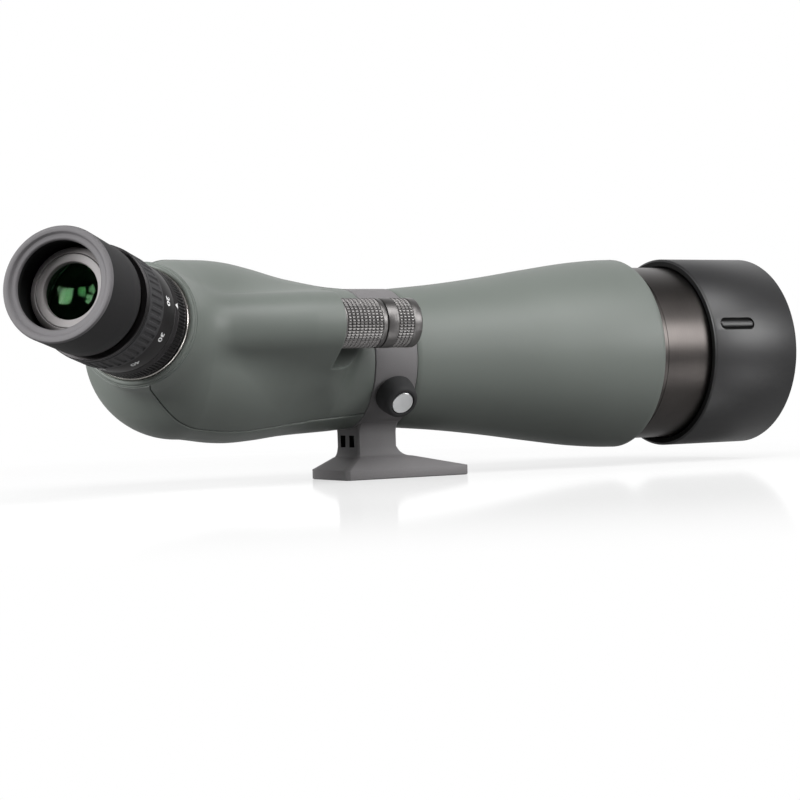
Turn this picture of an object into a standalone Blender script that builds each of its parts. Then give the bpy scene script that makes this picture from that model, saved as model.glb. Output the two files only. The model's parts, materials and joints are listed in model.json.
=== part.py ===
"""Angled spotting scope on a rotating tripod collar, built from separate pieces.

Metres, +Z up. The origin is the centre of the foot's underside and the objective looks along +X.
Inside the scope, x runs along the optical axis, z points to the eyepiece side and y to the left.
The whole scope lies rolled over in its collar, as it does when it is set down sideways.
"""
import math

import bmesh
import bpy
import numpy as np
from mathutils import Matrix, Vector

# Fits and walls
CLEARANCE = 0.0003
CUTTER_REACH = 0.010
HOUSING_WALL = 0.0024
BARREL_WALL = 0.0026
WAIST_WALL = 0.0034

# Foot, stem and collar
AXIS_HEIGHT = 0.0588
FOOT_LENGTH = 0.0685
FOOT_WIDTH = 0.039
FOOT_EDGE = 0.0048
SKIRT_HEIGHT = 0.0105
SKIRT_FRONT = 0.0085
SKIRT_REAR = 0.0020
SKIRT_SIDE = 0.0020
STEM_WIDTH = 0.0225
STEM_LENGTH = 0.0214
STEM_INSET = 0.0013
STEM_LAP = 0.0010
STEM_FILLET = 0.0065
COLLAR_CENTRE = -0.0132
COLLAR_WIDTH = 0.023
COLLAR_THICKNESS = 0.0027
WINDOW_WIDTH = 0.005
WINDOW_HEIGHT = 0.0058
WINDOW_DEPTH = 0.006
WINDOW_OFFSET = 0.0046
WINDOW_LEVEL = 0.0184
BUSH_WALL = 0.0019
SMALL_THREAD_RADIUS = 0.003175
SMALL_THREAD_PLACE = 0.012
LARGE_THREAD_RADIUS = 0.0047625
LARGE_THREAD_PLACE = -0.0135
BUSH_DEPTH = 0.0065

# Collar lock
LOCK_ANGLE = math.radians(30)
LOCK_KNOB_BASE_RADIUS = 0.0098
LOCK_KNOB_END_RADIUS = 0.0072
LOCK_KNOB_LENGTH = 0.0100
LOCK_DISC_RADIUS = 0.0054
LOCK_DISC_THICKNESS = 0.0012
LOCK_SCREW_RADIUS = 0.0025
LOCK_SCREW_DEPTH = 0.0060
SHOE_RADIUS = 0.0042
SHOE_THICKNESS = 0.0010
SHOE_TRAVEL = 0.0002

# Front barrel
REST_ROLL = math.radians(74.5)
WAIST_RADIUS = 0.0341
SPIGOT_LENGTH = 0.0080
BARREL_LENGTH = 0.13625
BARREL_MOUTH_DEPTH = 0.0260
BARREL_LIP_WALL = 0.0038
# Distance from the barrel's shoulder and swell over the waist radius, scaled to end at the lip's wall
BARREL_SWELL = ((0.0, 0.0001), (0.029, 0.0027), (0.0555, 0.0060), (0.0825, 0.0100),
                (0.110, 0.0137), (0.129, 0.01515), (0.13625, 0.01535))
SEAL_WIDTH = 0.0030
SEAL_HEIGHT = 0.0013
SEAL_INSET = 0.0080
BAFFLE_PLACE = 0.0600
BAFFLE_APERTURE = 0.0260
BAFFLE_THICKNESS = 0.0020

# Objective tube, lenses and sunshade
TUBE_RADIUS = 0.04535
TUBE_WALL = 0.00215
TUBE_LENGTH = 0.0778
TUBE_LEDGE = 0.0010
CELL_WALL = 0.0020
CELL_LENGTH = 0.0240
CELL_INSET = 0.0030
CELL_LIP = 0.0024
LENS_EDGE = 0.0040
LENS_CURVE = 0.170
LENS_BACK_CURVE = 0.230
FLINT_CENTRE = 0.0050
RETAINER_WIDTH = 0.0020
RETAINER_LENGTH = 0.0040
SUNSHADE_WALL = 0.0024
SUNSHADE_LENGTH = 0.0536
SUNSHADE_TRAVEL = 0.0315
SUNSHADE_STOP_GAP = 0.0005
SUNSHADE_CHAMFER = 0.0008
SUNSHADE_LIP = 0.0018
SUNSHADE_LIP_LENGTH = 0.0015
FELT_LENGTH = 0.0055
FELT_THICKNESS = 0.00165
SIGHT_START = 0.0046
SIGHT_LENGTH = 0.0221
SIGHT_WIDTH = 0.0065
SIGHT_RIB_WIDTH = 0.0030
SIGHT_DEPTH = 0.0012

# Rear housing: a tapering ovoid on a rising spine, with a neck and a focus bulge
SPINE_SLOPE = 0.26
SPINE_EASE = 0.008
BALL_PLACE = 0.12120
# Distance behind the collar's rear face and swell over the waist radius
HOUSING_SWELL = ((0.0, 0.0), (0.0210, 0.0018), (0.0405, 0.0039), (0.0572, 0.0065), (0.0710, 0.0080),
                 (0.0820, 0.0081), (0.0900, 0.0077), (0.0962, 0.0069))
BEND_PLACE = 0.09445
EYEPIECE_TILT = math.radians(45)
NECK_RADIUS = 0.0280
NECK_TOP = 0.0840
NECK_FOOT = 0.0450
NECK_BLEND = 0.0080
SEAM_ANGLE = math.radians(75)
SEAM_GAP = 0.0003
BULGE_FRONT = 0.0580
BULGE_RADIUS = 0.0148
BULGE_BASE_HEIGHT = 0.0330
BULGE_BASE_RADIUS = 0.0245
BULGE_BLEND = 0.0080
BULGE_TAPER_START = 0.0730
BULGE_TAPER_SLOPE = 0.085
BULGE_END = 0.1260
SADDLE_SLOPE = 1.25
KNOB_POCKET_RADIUS = 0.0160
FAN_START = 0.1180

# Focus drive
FOCUS_HEIGHT = 0.0576
KNOB_RADIUS = 0.0116
COARSE_KNOB_LENGTH = 0.0222
FINE_KNOB_LENGTH = 0.0180
KNOB_GAP = 0.0005
COARSE_SHAFT_RADIUS = 0.0035
FINE_SHAFT_RADIUS = 0.0019
COARSE_SHAFT_REACH = 0.0340
FINE_SHAFT_REACH = 0.0030
FOCUS_BUSH_WALL = 0.0022
FOCUS_BUSH_LENGTH = 0.0060
CARRIAGE_PLACE = 0.0560
CARRIAGE_RADIUS = 0.0223
CARRIAGE_BORE = 0.0183
CARRIAGE_THICKNESS = 0.0050
CARRIAGE_ARM_WIDTH = 0.0070
CARRIAGE_STEP = 0.0002
BRIDGE_LEVEL = 0.0300
BRIDGE_THICKNESS = 0.0040
NUT_SETBACK = 0.0200
NUT_WALL = 0.0025
ROD_RADIUS = 0.0015
ROD_SPREAD = 0.0250
ROD_EAR = 0.0030
FOCUS_CELL_WALL = 0.0028
FOCUS_CELL_LENGTH = 0.0090
FOCUS_LENS_EDGE = 0.0040
FOCUS_LENS_HOLLOW = 0.0015

# Chassis, bulkhead and prism
FLANGE_THICKNESS = 0.0030
FLANGE_BORE = 0.0220
FLANGE_SCREW_COUNT = 3
SCREW_SHANK_RADIUS = 0.0010
SCREW_HEAD_RADIUS = 0.0019
SCREW_HEAD_HEIGHT = 0.0014
SCREW_DEPTH = 0.0050
BULKHEAD_PLACE = 0.0800
BULKHEAD_THICKNESS = 0.0030
BULKHEAD_APERTURE = 0.0150
BULKHEAD_TOP = 0.0260
PRISM_HALF_HEIGHT = 0.0170
PRISM_HALF_WIDTH = 0.0160
PRISM_EXIT = 0.0300
CRADLE_THICKNESS = 0.0025
CLAMP_THICKNESS = 0.0020

# Eyepiece, measured along its own axis from the bend
SOCKET_WALL = 0.0027
SOCKET_LENGTH = 0.0150
SOCKET_RISE = 0.0030
EYEPIECE_WALL = 0.0022
EYEPIECE_NOSE = 0.0740
EYEPIECE_END = 0.1310
LOCK_RING_START = 0.0882
LOCK_RING_LENGTH = 0.0115
LOCK_RING_WALL = 0.0023
ZOOM_LENGTH = 0.0288
ZOOM_SLEEVE_WALL = 0.0020
ZOOM_FLANGE_LENGTH = 0.0024
ZOOM_FLANGE_RISE = 0.0005
GRIP_LENGTH = 0.0136
GRIP_SEAT_DEPTH = 0.0009
GRIP_WALL = 0.0013
ZOOM_CELL_WALL = 0.0030
ZOOM_CELL_LENGTH = 0.0070
ZOOM_LENS_EDGE = 0.0030
ZOOM_LENS_DOME = 0.0010
ZOOM_FRONT_PLACE = 0.1060
ZOOM_FRONT_TRAVEL = 0.0050
ZOOM_REAR_PLACE = 0.1230
ZOOM_REAR_TRAVEL = 0.0040
FOLLOWER_RADIUS = 0.0010
FIELD_LENS_PLACE = 0.0790
FIELD_LENS_EDGE = 0.0040
FIELD_LENS_DOME = 0.0012
HEAD_WALL = 0.0026
HEAD_BORE = 0.0156
HEAD_FLANGE = 0.0038
HEAD_LENGTH = 0.0180
HEAD_BEVEL = 0.0012
EYE_LENS_EDGE = 0.0050
EYE_LENS_DOME = 0.0018
EYE_RETAINER_APERTURE = 0.0116
EYE_RETAINER_LENGTH = 0.0028
EYE_RETAINER_BEVEL = 0.0006
HELIX_WALL = 0.0018
HELIX_LENGTH = 0.0105
EYECUP_BASE_GAP = 0.0036
EYECUP_LENGTH = 0.0283
EYECUP_RADIUS = 0.0245
EYECUP_BASE_RADIUS = 0.0238
EYECUP_APERTURE = 0.0183
EYECUP_LIP = 0.0047
EYECUP_EDGE = 0.0010
EYECUP_GROOVE_RADIUS = 0.0212
EYECUP_GROOVE_DEPTH = 0.0010
EYECUP_GROOVE_SLOPE = 0.0006

# Facets
LARGE_STEPS = 32
MEDIUM_STEPS = 24
SMALL_STEPS = 12
TINY_STEPS = 8
DOME_STEPS = 3
FILLET_STEPS = 4
HOUSING_FRONT_RINGS = 5
HOUSING_MIDDLE_RINGS = 6
HOUSING_FAN_RINGS = 6
UPPER_COLUMNS = 21
LOWER_COLUMNS = 17
SHARP_ANGLE = math.radians(35)
MERGE_DISTANCE = 0.000001
RAY_STRIDE = 0.0005
RAY_HALVINGS = 20
RING_NUDGE = 0.00004

# Places that follow from the sizes above
COLLAR_REAR = COLLAR_CENTRE - COLLAR_WIDTH / 2
COLLAR_FRONT = COLLAR_CENTRE + COLLAR_WIDTH / 2
SPIGOT_RADIUS = WAIST_RADIUS - HOUSING_WALL - CLEARANCE
COLLAR_BORE = SPIGOT_RADIUS + CLEARANCE
COLLAR_RADIUS = COLLAR_BORE + COLLAR_THICKNESS
BARREL_SHOULDER = COLLAR_FRONT + CLEARANCE
BARREL_FRONT = BARREL_SHOULDER + BARREL_LENGTH
HOUSING_FRONT = COLLAR_REAR - CLEARANCE
SPIGOT_END = HOUSING_FRONT - SPIGOT_LENGTH
TUBE_REAR = BARREL_FRONT - BARREL_MOUTH_DEPTH + CLEARANCE
TUBE_FRONT = TUBE_REAR + TUBE_LENGTH
SUNSHADE_REAR = BARREL_FRONT + SUNSHADE_TRAVEL + SUNSHADE_STOP_GAP
BARREL_MOUTH_RADIUS = TUBE_RADIUS + CLEARANCE
BARREL_RISE = BARREL_MOUTH_RADIUS + BARREL_LIP_WALL - WAIST_RADIUS
FELT_BORE = TUBE_RADIUS + CLEARANCE
SUNSHADE_BORE = FELT_BORE + FELT_THICKNESS + CLEARANCE
SUNSHADE_RADIUS = SUNSHADE_BORE + SUNSHADE_WALL
CELL_RADIUS = TUBE_RADIUS - TUBE_WALL - CLEARANCE
CELL_FRONT = TUBE_FRONT - CELL_INSET
CELL_REAR = CELL_FRONT - CELL_LENGTH
LENS_RADIUS = CELL_RADIUS - CELL_WALL - CLEARANCE
BEND = -BEND_PLACE
BALL = -BALL_PLACE
SOCKET_RADIUS = NECK_RADIUS - HOUSING_WALL - 2 * CLEARANCE
NOSE_RADIUS = SOCKET_RADIUS - SOCKET_WALL - CLEARANCE
EYEPIECE_BORE = NOSE_RADIUS - EYEPIECE_WALL
RING_BORE = NOSE_RADIUS + CLEARANCE
ZOOM_START = LOCK_RING_START + LOCK_RING_LENGTH + CLEARANCE
ZOOM_END = ZOOM_START + ZOOM_LENGTH
HEAD_RADIUS = HEAD_BORE + HEAD_WALL
FLANGE_FRONT = SPIGOT_END - CLEARANCE
BULKHEAD_FRONT = -BULKHEAD_PLACE
BULKHEAD_REAR = BULKHEAD_FRONT - BULKHEAD_THICKNESS


# Making objects

def clear_scene():
    for item in list(bpy.data.objects):
        bpy.data.objects.remove(item, do_unlink=True)


def material(name, colour, roughness, metallic=0.0):
    made = bpy.data.materials.new(name)
    made.use_nodes = True
    shader = made.node_tree.nodes["Principled BSDF"]
    shader.inputs["Base Color"].default_value = (*colour, 1.0)
    shader.inputs["Roughness"].default_value = roughness
    shader.inputs["Metallic"].default_value = metallic
    return made


def empty(name, parent, matrix):
    made = bpy.data.objects.new(name, None)
    bpy.context.scene.collection.objects.link(made)
    made.parent = parent
    made.matrix_local = matrix
    return made


def add(name, mesh, parent, look):
    made = bpy.data.objects.new(name, mesh)
    bpy.context.scene.collection.objects.link(made)
    made.parent = parent
    mesh.materials.append(look)
    return made


def mesh_from(bm, name):
    bmesh.ops.recalc_face_normals(bm, faces=bm.faces[:])
    mesh = bpy.data.meshes.new(name)
    bm.to_mesh(mesh)
    bm.free()
    mesh.shade_smooth()
    mesh.set_sharp_from_angle(angle=SHARP_ANGLE)
    return mesh


def turned_mesh(name, outline, steps, closed=True):
    """Spin an outline of (radius, height) points round the local z axis."""
    bm = bmesh.new()
    corners = [bm.verts.new((radius, 0, height)) for radius, height in outline]
    pairs = list(zip(corners, corners[1:]))
    if closed:
        pairs.append((corners[-1], corners[0]))
    edges = [bm.edges.new(pair) for pair in pairs]
    bmesh.ops.spin(bm, geom=corners + edges, cent=(0, 0, 0), axis=(0, 0, 1),
                   angle=2 * math.pi, steps=steps, use_merge=True)
    bmesh.ops.remove_doubles(bm, verts=bm.verts[:], dist=MERGE_DISTANCE)
    return mesh_from(bm, name)


def turned(name, outline, parent, look, steps=MEDIUM_STEPS, closed=True):
    return add(name, turned_mesh(name, outline, steps, closed), parent, look)


def tube_outline(inner, outer, low, high):
    return ((inner, low), (outer, low), (outer, high), (inner, high))


def tube(name, inner, outer, low, high, parent, look, steps=MEDIUM_STEPS):
    return turned(name, tube_outline(inner, outer, low, high), parent, look, steps)


def rod(name, radius, low, high, parent, look, steps=SMALL_STEPS):
    return turned(name, ((0, low), (radius, low), (radius, high), (0, high)), parent, look, steps, False)


def box_mesh(name, low, high):
    bm = bmesh.new()
    size = Vector(high) - Vector(low)
    middle = (Vector(high) + Vector(low)) / 2
    bmesh.ops.create_cube(bm, size=1, matrix=Matrix.Translation(middle) @ Matrix.Diagonal((*size, 1)))
    return mesh_from(bm, name)


def prism_mesh(name, outline, half_width):
    """Extrude an outline of (x, z) points along y, the same distance to both sides."""
    bm = bmesh.new()
    face = bm.faces.new([bm.verts.new((x, -half_width, z)) for x, z in outline])
    moved = bmesh.ops.extrude_face_region(bm, geom=[face])["geom"]
    corners = [item for item in moved if isinstance(item, bmesh.types.BMVert)]
    bmesh.ops.translate(bm, verts=corners, vec=(0, 2 * half_width, 0))
    return mesh_from(bm, name)


def combine(target, tool, operation):
    """Join a second solid to the target, or cut it away, and keep it as a hidden guide."""
    tool.hide_render = True
    tool.display_type = 'WIRE'
    step = target.modifiers.new(tool.name, 'BOOLEAN')
    step.operation = operation
    step.solver = 'EXACT'
    step.object = tool


def cut_cylinder(target, name, radius, low, high, parent, look, steps=SMALL_STEPS):
    combine(target, rod(name, radius, low, high, parent, look, steps), 'DIFFERENCE')


def cut_box(target, name, low, high, parent, look):
    combine(target, add(name, box_mesh(name, low, high), parent, look), 'DIFFERENCE')


def join_box(target, name, low, high, parent, look):
    combine(target, add(name, box_mesh(name, low, high), parent, look), 'UNION')


# Curves

def smooth_through(points):
    """A smooth curve through (place, value) points, level with its neighbours at each point."""
    places = np.array([place for place, _ in points])
    values = np.array([value for _, value in points])
    slopes = np.gradient(values, places)

    def curve(place):
        place = np.clip(np.asarray(place, float), places[0], places[-1])
        index = np.clip(np.searchsorted(places, place, side='right') - 1, 0, len(places) - 2)
        span = places[index + 1] - places[index]
        share = (place - places[index]) / span
        rise = values[index + 1] - values[index]
        ease = share * share * (3 - 2 * share)
        start = slopes[index] * span * share * (1 - share) ** 2
        end = slopes[index + 1] * span * share * share * (share - 1)
        return values[index] + rise * ease + start + end

    return curve


BARREL_CURVE = smooth_through(BARREL_SWELL)
HOUSING_CURVE = smooth_through(HOUSING_SWELL)


def barrel_radius(x):
    listed_rise = BARREL_SWELL[-1][1]
    return WAIST_RADIUS + BARREL_RISE / listed_rise * float(BARREL_CURVE(x - BARREL_SHOULDER))


def dome_outline(radius, edge_low, edge_high, low_dome, high_dome):
    """Half a lens: from the axis along the lower face, over the edge, and back to the axis."""
    shares = [step / DOME_STEPS for step in range(DOME_STEPS + 1)]
    lower = [(radius * share, edge_low - low_dome * (1 - share * share)) for share in shares]
    upper = [(radius * share, edge_high + high_dome * (1 - share * share)) for share in reversed(shares)]
    return lower + upper


# The rear housing's surface

def spine_height(x):
    run = np.maximum(HOUSING_FRONT - SPIGOT_LENGTH - np.maximum(x, BALL), 0)
    return SPINE_SLOPE * run * run / (run + SPINE_EASE)


def smooth_union(first, second, blend):
    overlap = np.maximum(blend - np.abs(first - second), 0) / blend
    return np.minimum(first, second) - overlap * overlap * blend / 4


def hull_of_circles(y, z, low, low_radius, high, high_radius):
    """Distance to the outline that wraps two circles standing one over the other."""
    span = high - low
    lean = (low_radius - high_radius) / span
    upright = math.sqrt(1 - lean * lean)
    side = np.abs(y)
    above = z - low
    along = above * upright - side * lean
    on_low = np.hypot(side, above) - low_radius
    on_high = np.hypot(side, above - span) - high_radius
    on_flank = side * upright + above * lean - low_radius
    return np.where(along < 0, on_low, np.where(along > span * upright, on_high, on_flank))


def housing_distance(point):
    """Signed distance to the housing's outer surface, less than zero inside."""
    x, y, z = point[..., 0], point[..., 1], point[..., 2]
    radius = WAIST_RADIUS + HOUSING_CURVE(HOUSING_FRONT - x)
    across = np.hypot(y, z - spine_height(x))
    ovoid = np.where(x > BALL, across - radius, np.hypot(across, x - BALL) - radius)

    drop_behind = BULGE_TAPER_SLOPE * np.maximum(-BULGE_TAPER_START - x, 0)
    drop_ahead = SADDLE_SLOPE * np.maximum(x + BULGE_FRONT, 0)
    drop = drop_behind + drop_ahead
    bulge = hull_of_circles(y, z + drop, BULGE_BASE_HEIGHT, BULGE_BASE_RADIUS, FOCUS_HEIGHT, BULGE_RADIUS)
    bulge = np.maximum(bulge, -BULGE_END - x)

    along = -(x - BEND) * math.sin(EYEPIECE_TILT) + z * math.cos(EYEPIECE_TILT)
    over = (x - BEND) * math.cos(EYEPIECE_TILT) + z * math.sin(EYEPIECE_TILT)
    neck = np.maximum(np.hypot(y, over) - NECK_RADIUS, NECK_FOOT - along)

    body = smooth_union(smooth_union(ovoid, bulge, BULGE_BLEND), neck, NECK_BLEND)
    pocket = np.maximum(np.hypot(y, z - FOCUS_HEIGHT) - KNOB_POCKET_RADIUS, -BULGE_FRONT - x)
    return np.maximum(body, -pocket)


def housing_reach(centre, direction, wall):
    """How far each ray runs from its centre to the surface, a wall's thickness inside it."""
    def is_outside(reach):
        return housing_distance(centre + reach[..., None] * direction) + wall > 0

    farthest = 2 * (FOCUS_HEIGHT + BULGE_RADIUS)
    low = np.zeros(direction.shape[:-1])
    for _ in range(math.ceil(farthest / RAY_STRIDE)):
        low = np.where(is_outside(low + RAY_STRIDE), low, low + RAY_STRIDE)
    high = low + RAY_STRIDE
    for _ in range(RAY_HALVINGS):
        middle = (low + high) / 2
        outside = is_outside(middle)
        high = np.where(outside, middle, high)
        low = np.where(outside, low, middle)
    return high


def housing_rings(step_place):
    """Centres and upward directions of the housing's rings, from the waist round to the neck."""
    lip_along = Vector((-math.sin(EYEPIECE_TILT), 0, math.cos(EYEPIECE_TILT)))
    lip = Vector((BEND, 0, 0)) + NECK_TOP * lip_along
    fan = -FAN_START
    pivot_height = lip.z + (fan - lip.x) / math.tan(EYEPIECE_TILT)
    reach_start = pivot_height - float(spine_height(fan))
    reach_end = (fan - lip.x) / math.sin(EYEPIECE_TILT)
    front = np.linspace(HOUSING_FRONT, step_place + RING_NUDGE, HOUSING_FRONT_RINGS)
    middle = np.linspace(step_place - RING_NUDGE, fan, HOUSING_MIDDLE_RINGS)
    rings = [((x, 0, float(spine_height(x))), (0, 0, 1)) for x in (*front, *middle)]
    for step in range(1, HOUSING_FAN_RINGS + 1):
        angle = EYEPIECE_TILT * step / HOUSING_FAN_RINGS
        reach = reach_start + (reach_end - reach_start) * step / HOUSING_FAN_RINGS
        centre = (fan - reach * math.sin(angle), 0, pivot_height - reach * math.cos(angle))
        rings.append((centre, (math.sin(angle), 0, math.cos(angle))))
    return rings


def housing_grid(rings, angles, wall):
    centres = np.array([centre for centre, _ in rings])[:, None, :]
    up = np.array([direction for _, direction in rings])[:, None, :]
    side = np.array((0.0, 1.0, 0.0))
    direction = up * np.cos(angles)[None, :, None] + side * np.sin(angles)[None, :, None]
    reach = housing_reach(np.broadcast_to(centres, direction.shape), direction, wall)
    return centres + reach[..., None] * direction


def housing_shell(name, first_angle, last_angle, columns, parent, look):
    """A shell between the outer surface and the inner one, over part of the way round."""
    margin = SEAM_GAP / 2 / WAIST_RADIUS
    angles = np.linspace(first_angle + margin, last_angle - margin, columns)
    outer = housing_grid(housing_rings(-BULGE_FRONT), angles, 0.0)
    inner = housing_grid(housing_rings(-BULGE_FRONT - HOUSING_WALL), angles, HOUSING_WALL)
    bm = bmesh.new()
    skins = []
    for grid in (outer, inner):
        skins.append([[bm.verts.new(point) for point in row] for row in grid])
    rows = len(skins[0])

    def wall_between(first, second):
        for index in range(len(first) - 1):
            bm.faces.new((first[index], first[index + 1], second[index + 1], second[index]))

    for skin in skins:
        for row in range(rows - 1):
            wall_between(skin[row], skin[row + 1])
    for row in (0, rows - 1):
        wall_between(skins[0][row], skins[1][row])
    for column in (0, columns - 1):
        wall_between([row[column] for row in skins[0]], [row[column] for row in skins[1]])
    return add(name, mesh_from(bm, name), parent, look)


# The groups of pieces

def build_stand(looks, lock_frame):
    """Foot, stem and collar in one casting, its thread bushes, and the lock that grips the scope."""
    stem_rear = COLLAR_REAR + STEM_INSET
    stem_front = stem_rear + STEM_LENGTH
    stem_top = AXIS_HEIGHT - math.sqrt(COLLAR_BORE ** 2 - (STEM_WIDTH / 2) ** 2) + STEM_LAP
    half = FOOT_WIDTH / 2
    skirt_side = STEM_WIDTH / 2 + SKIRT_SIDE
    levels = [(0.0, -FOOT_LENGTH / 2, FOOT_LENGTH / 2, half),
              (FOOT_EDGE, -FOOT_LENGTH / 2, FOOT_LENGTH / 2, half)]
    for step in range(FILLET_STEPS + 1):
        turn = math.pi / 2 * step / FILLET_STEPS
        out = 1 - math.sin(turn)
        rise = STEM_FILLET * (1 - math.cos(turn))
        levels.append((SKIRT_HEIGHT + rise, stem_rear - SKIRT_REAR * out,
                       stem_front + SKIRT_FRONT * out,
                       STEM_WIDTH / 2 + (skirt_side - STEM_WIDTH / 2) * out))
    levels.append((stem_top, stem_rear, stem_front, STEM_WIDTH / 2))
    bm = bmesh.new()
    loops = []
    for level, rear, front, side in levels:
        corners = ((rear, -side), (front, -side), (front, side), (rear, side))
        loops.append([bm.verts.new((x, y, level)) for x, y in corners])
    for low, high in zip(loops, loops[1:]):
        for index in range(4):
            after = (index + 1) % 4
            bm.faces.new((low[index], low[after], high[after], high[index]))
    bm.faces.new(loops[0])
    bm.faces.new(loops[-1])
    foot = add("tripod_foot", mesh_from(bm, "tripod_foot"), None, looks["stand"])

    along_axis = Matrix.Translation((0, 0, AXIS_HEIGHT)) @ Matrix.Rotation(math.pi / 2, 4, 'Y')
    collar_frame = empty("collar_frame", None, along_axis)
    cut_cylinder(foot, "stem_saddle", COLLAR_BORE + COLLAR_THICKNESS / 2, COLLAR_REAR - CUTTER_REACH,
                 COLLAR_FRONT + CUTTER_REACH, collar_frame, looks["stand"], MEDIUM_STEPS)
    ring = tube("collar_ring", COLLAR_BORE, COLLAR_RADIUS, COLLAR_REAR, COLLAR_FRONT, collar_frame,
                looks["stand"], LARGE_STEPS)
    combine(foot, ring, 'UNION')
    for number, place in enumerate((-WINDOW_OFFSET, WINDOW_OFFSET)):
        low = (COLLAR_REAR - CUTTER_REACH, place - WINDOW_WIDTH / 2, WINDOW_LEVEL - WINDOW_HEIGHT / 2)
        high = (COLLAR_REAR + WINDOW_DEPTH, place + WINDOW_WIDTH / 2, WINDOW_LEVEL + WINDOW_HEIGHT / 2)
        cut_box(foot, f"stem_window_{number}", low, high, None, looks["stand"])

    threads = (("quarter_inch_bush", SMALL_THREAD_RADIUS, SMALL_THREAD_PLACE),
               ("three_eighths_bush", LARGE_THREAD_RADIUS, LARGE_THREAD_PLACE))
    for name, bore, place in threads:
        spot = empty(name + "_frame", None, Matrix.Translation((place, 0, 0)))
        cut_cylinder(foot, name + "_hole", bore + BUSH_WALL + CLEARANCE, -CUTTER_REACH,
                     BUSH_DEPTH + CLEARANCE, spot, looks["stand"])
        tube(name, bore, bore + BUSH_WALL, 0.0, BUSH_DEPTH, spot, looks["brass"], SMALL_STEPS)

    shoe_seat = COLLAR_BORE + SHOE_THICKNESS + SHOE_TRAVEL + CLEARANCE
    cut_cylinder(foot, "shoe_pocket", SHOE_RADIUS + CLEARANCE, COLLAR_BORE - CUTTER_REACH, shoe_seat,
                 lock_frame, looks["stand"])
    cut_cylinder(foot, "lock_screw_hole", LOCK_SCREW_RADIUS + CLEARANCE, COLLAR_BORE - CUTTER_REACH,
                 COLLAR_RADIUS + CUTTER_REACH, lock_frame, looks["stand"])
    rod("brake_shoe", SHOE_RADIUS, shoe_seat - CLEARANCE - SHOE_THICKNESS, shoe_seat - CLEARANCE,
        lock_frame, looks["nylon"])

    knob_low = COLLAR_RADIUS + CLEARANCE
    knob_high = knob_low + LOCK_KNOB_LENGTH
    screw_low = shoe_seat
    screw_high = knob_low + LOCK_SCREW_DEPTH
    disc_seat = knob_high - LOCK_DISC_THICKNESS
    bore = LOCK_SCREW_RADIUS + CLEARANCE
    recess = LOCK_DISC_RADIUS + CLEARANCE
    turned("lock_knob", ((0, screw_high + CLEARANCE), (bore, screw_high + CLEARANCE), (bore, knob_low),
                         (LOCK_KNOB_BASE_RADIUS, knob_low), (LOCK_KNOB_END_RADIUS, knob_high),
                         (recess, knob_high), (recess, disc_seat), (0, disc_seat)),
           lock_frame, looks["knob_rubber"], MEDIUM_STEPS, False)
    rod("lock_knob_disc", LOCK_DISC_RADIUS, disc_seat + CLEARANCE, knob_high, lock_frame, looks["disc"],
        MEDIUM_STEPS)
    rod("lock_screw", LOCK_SCREW_RADIUS, screw_low, screw_high, lock_frame, looks["steel"])


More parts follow.
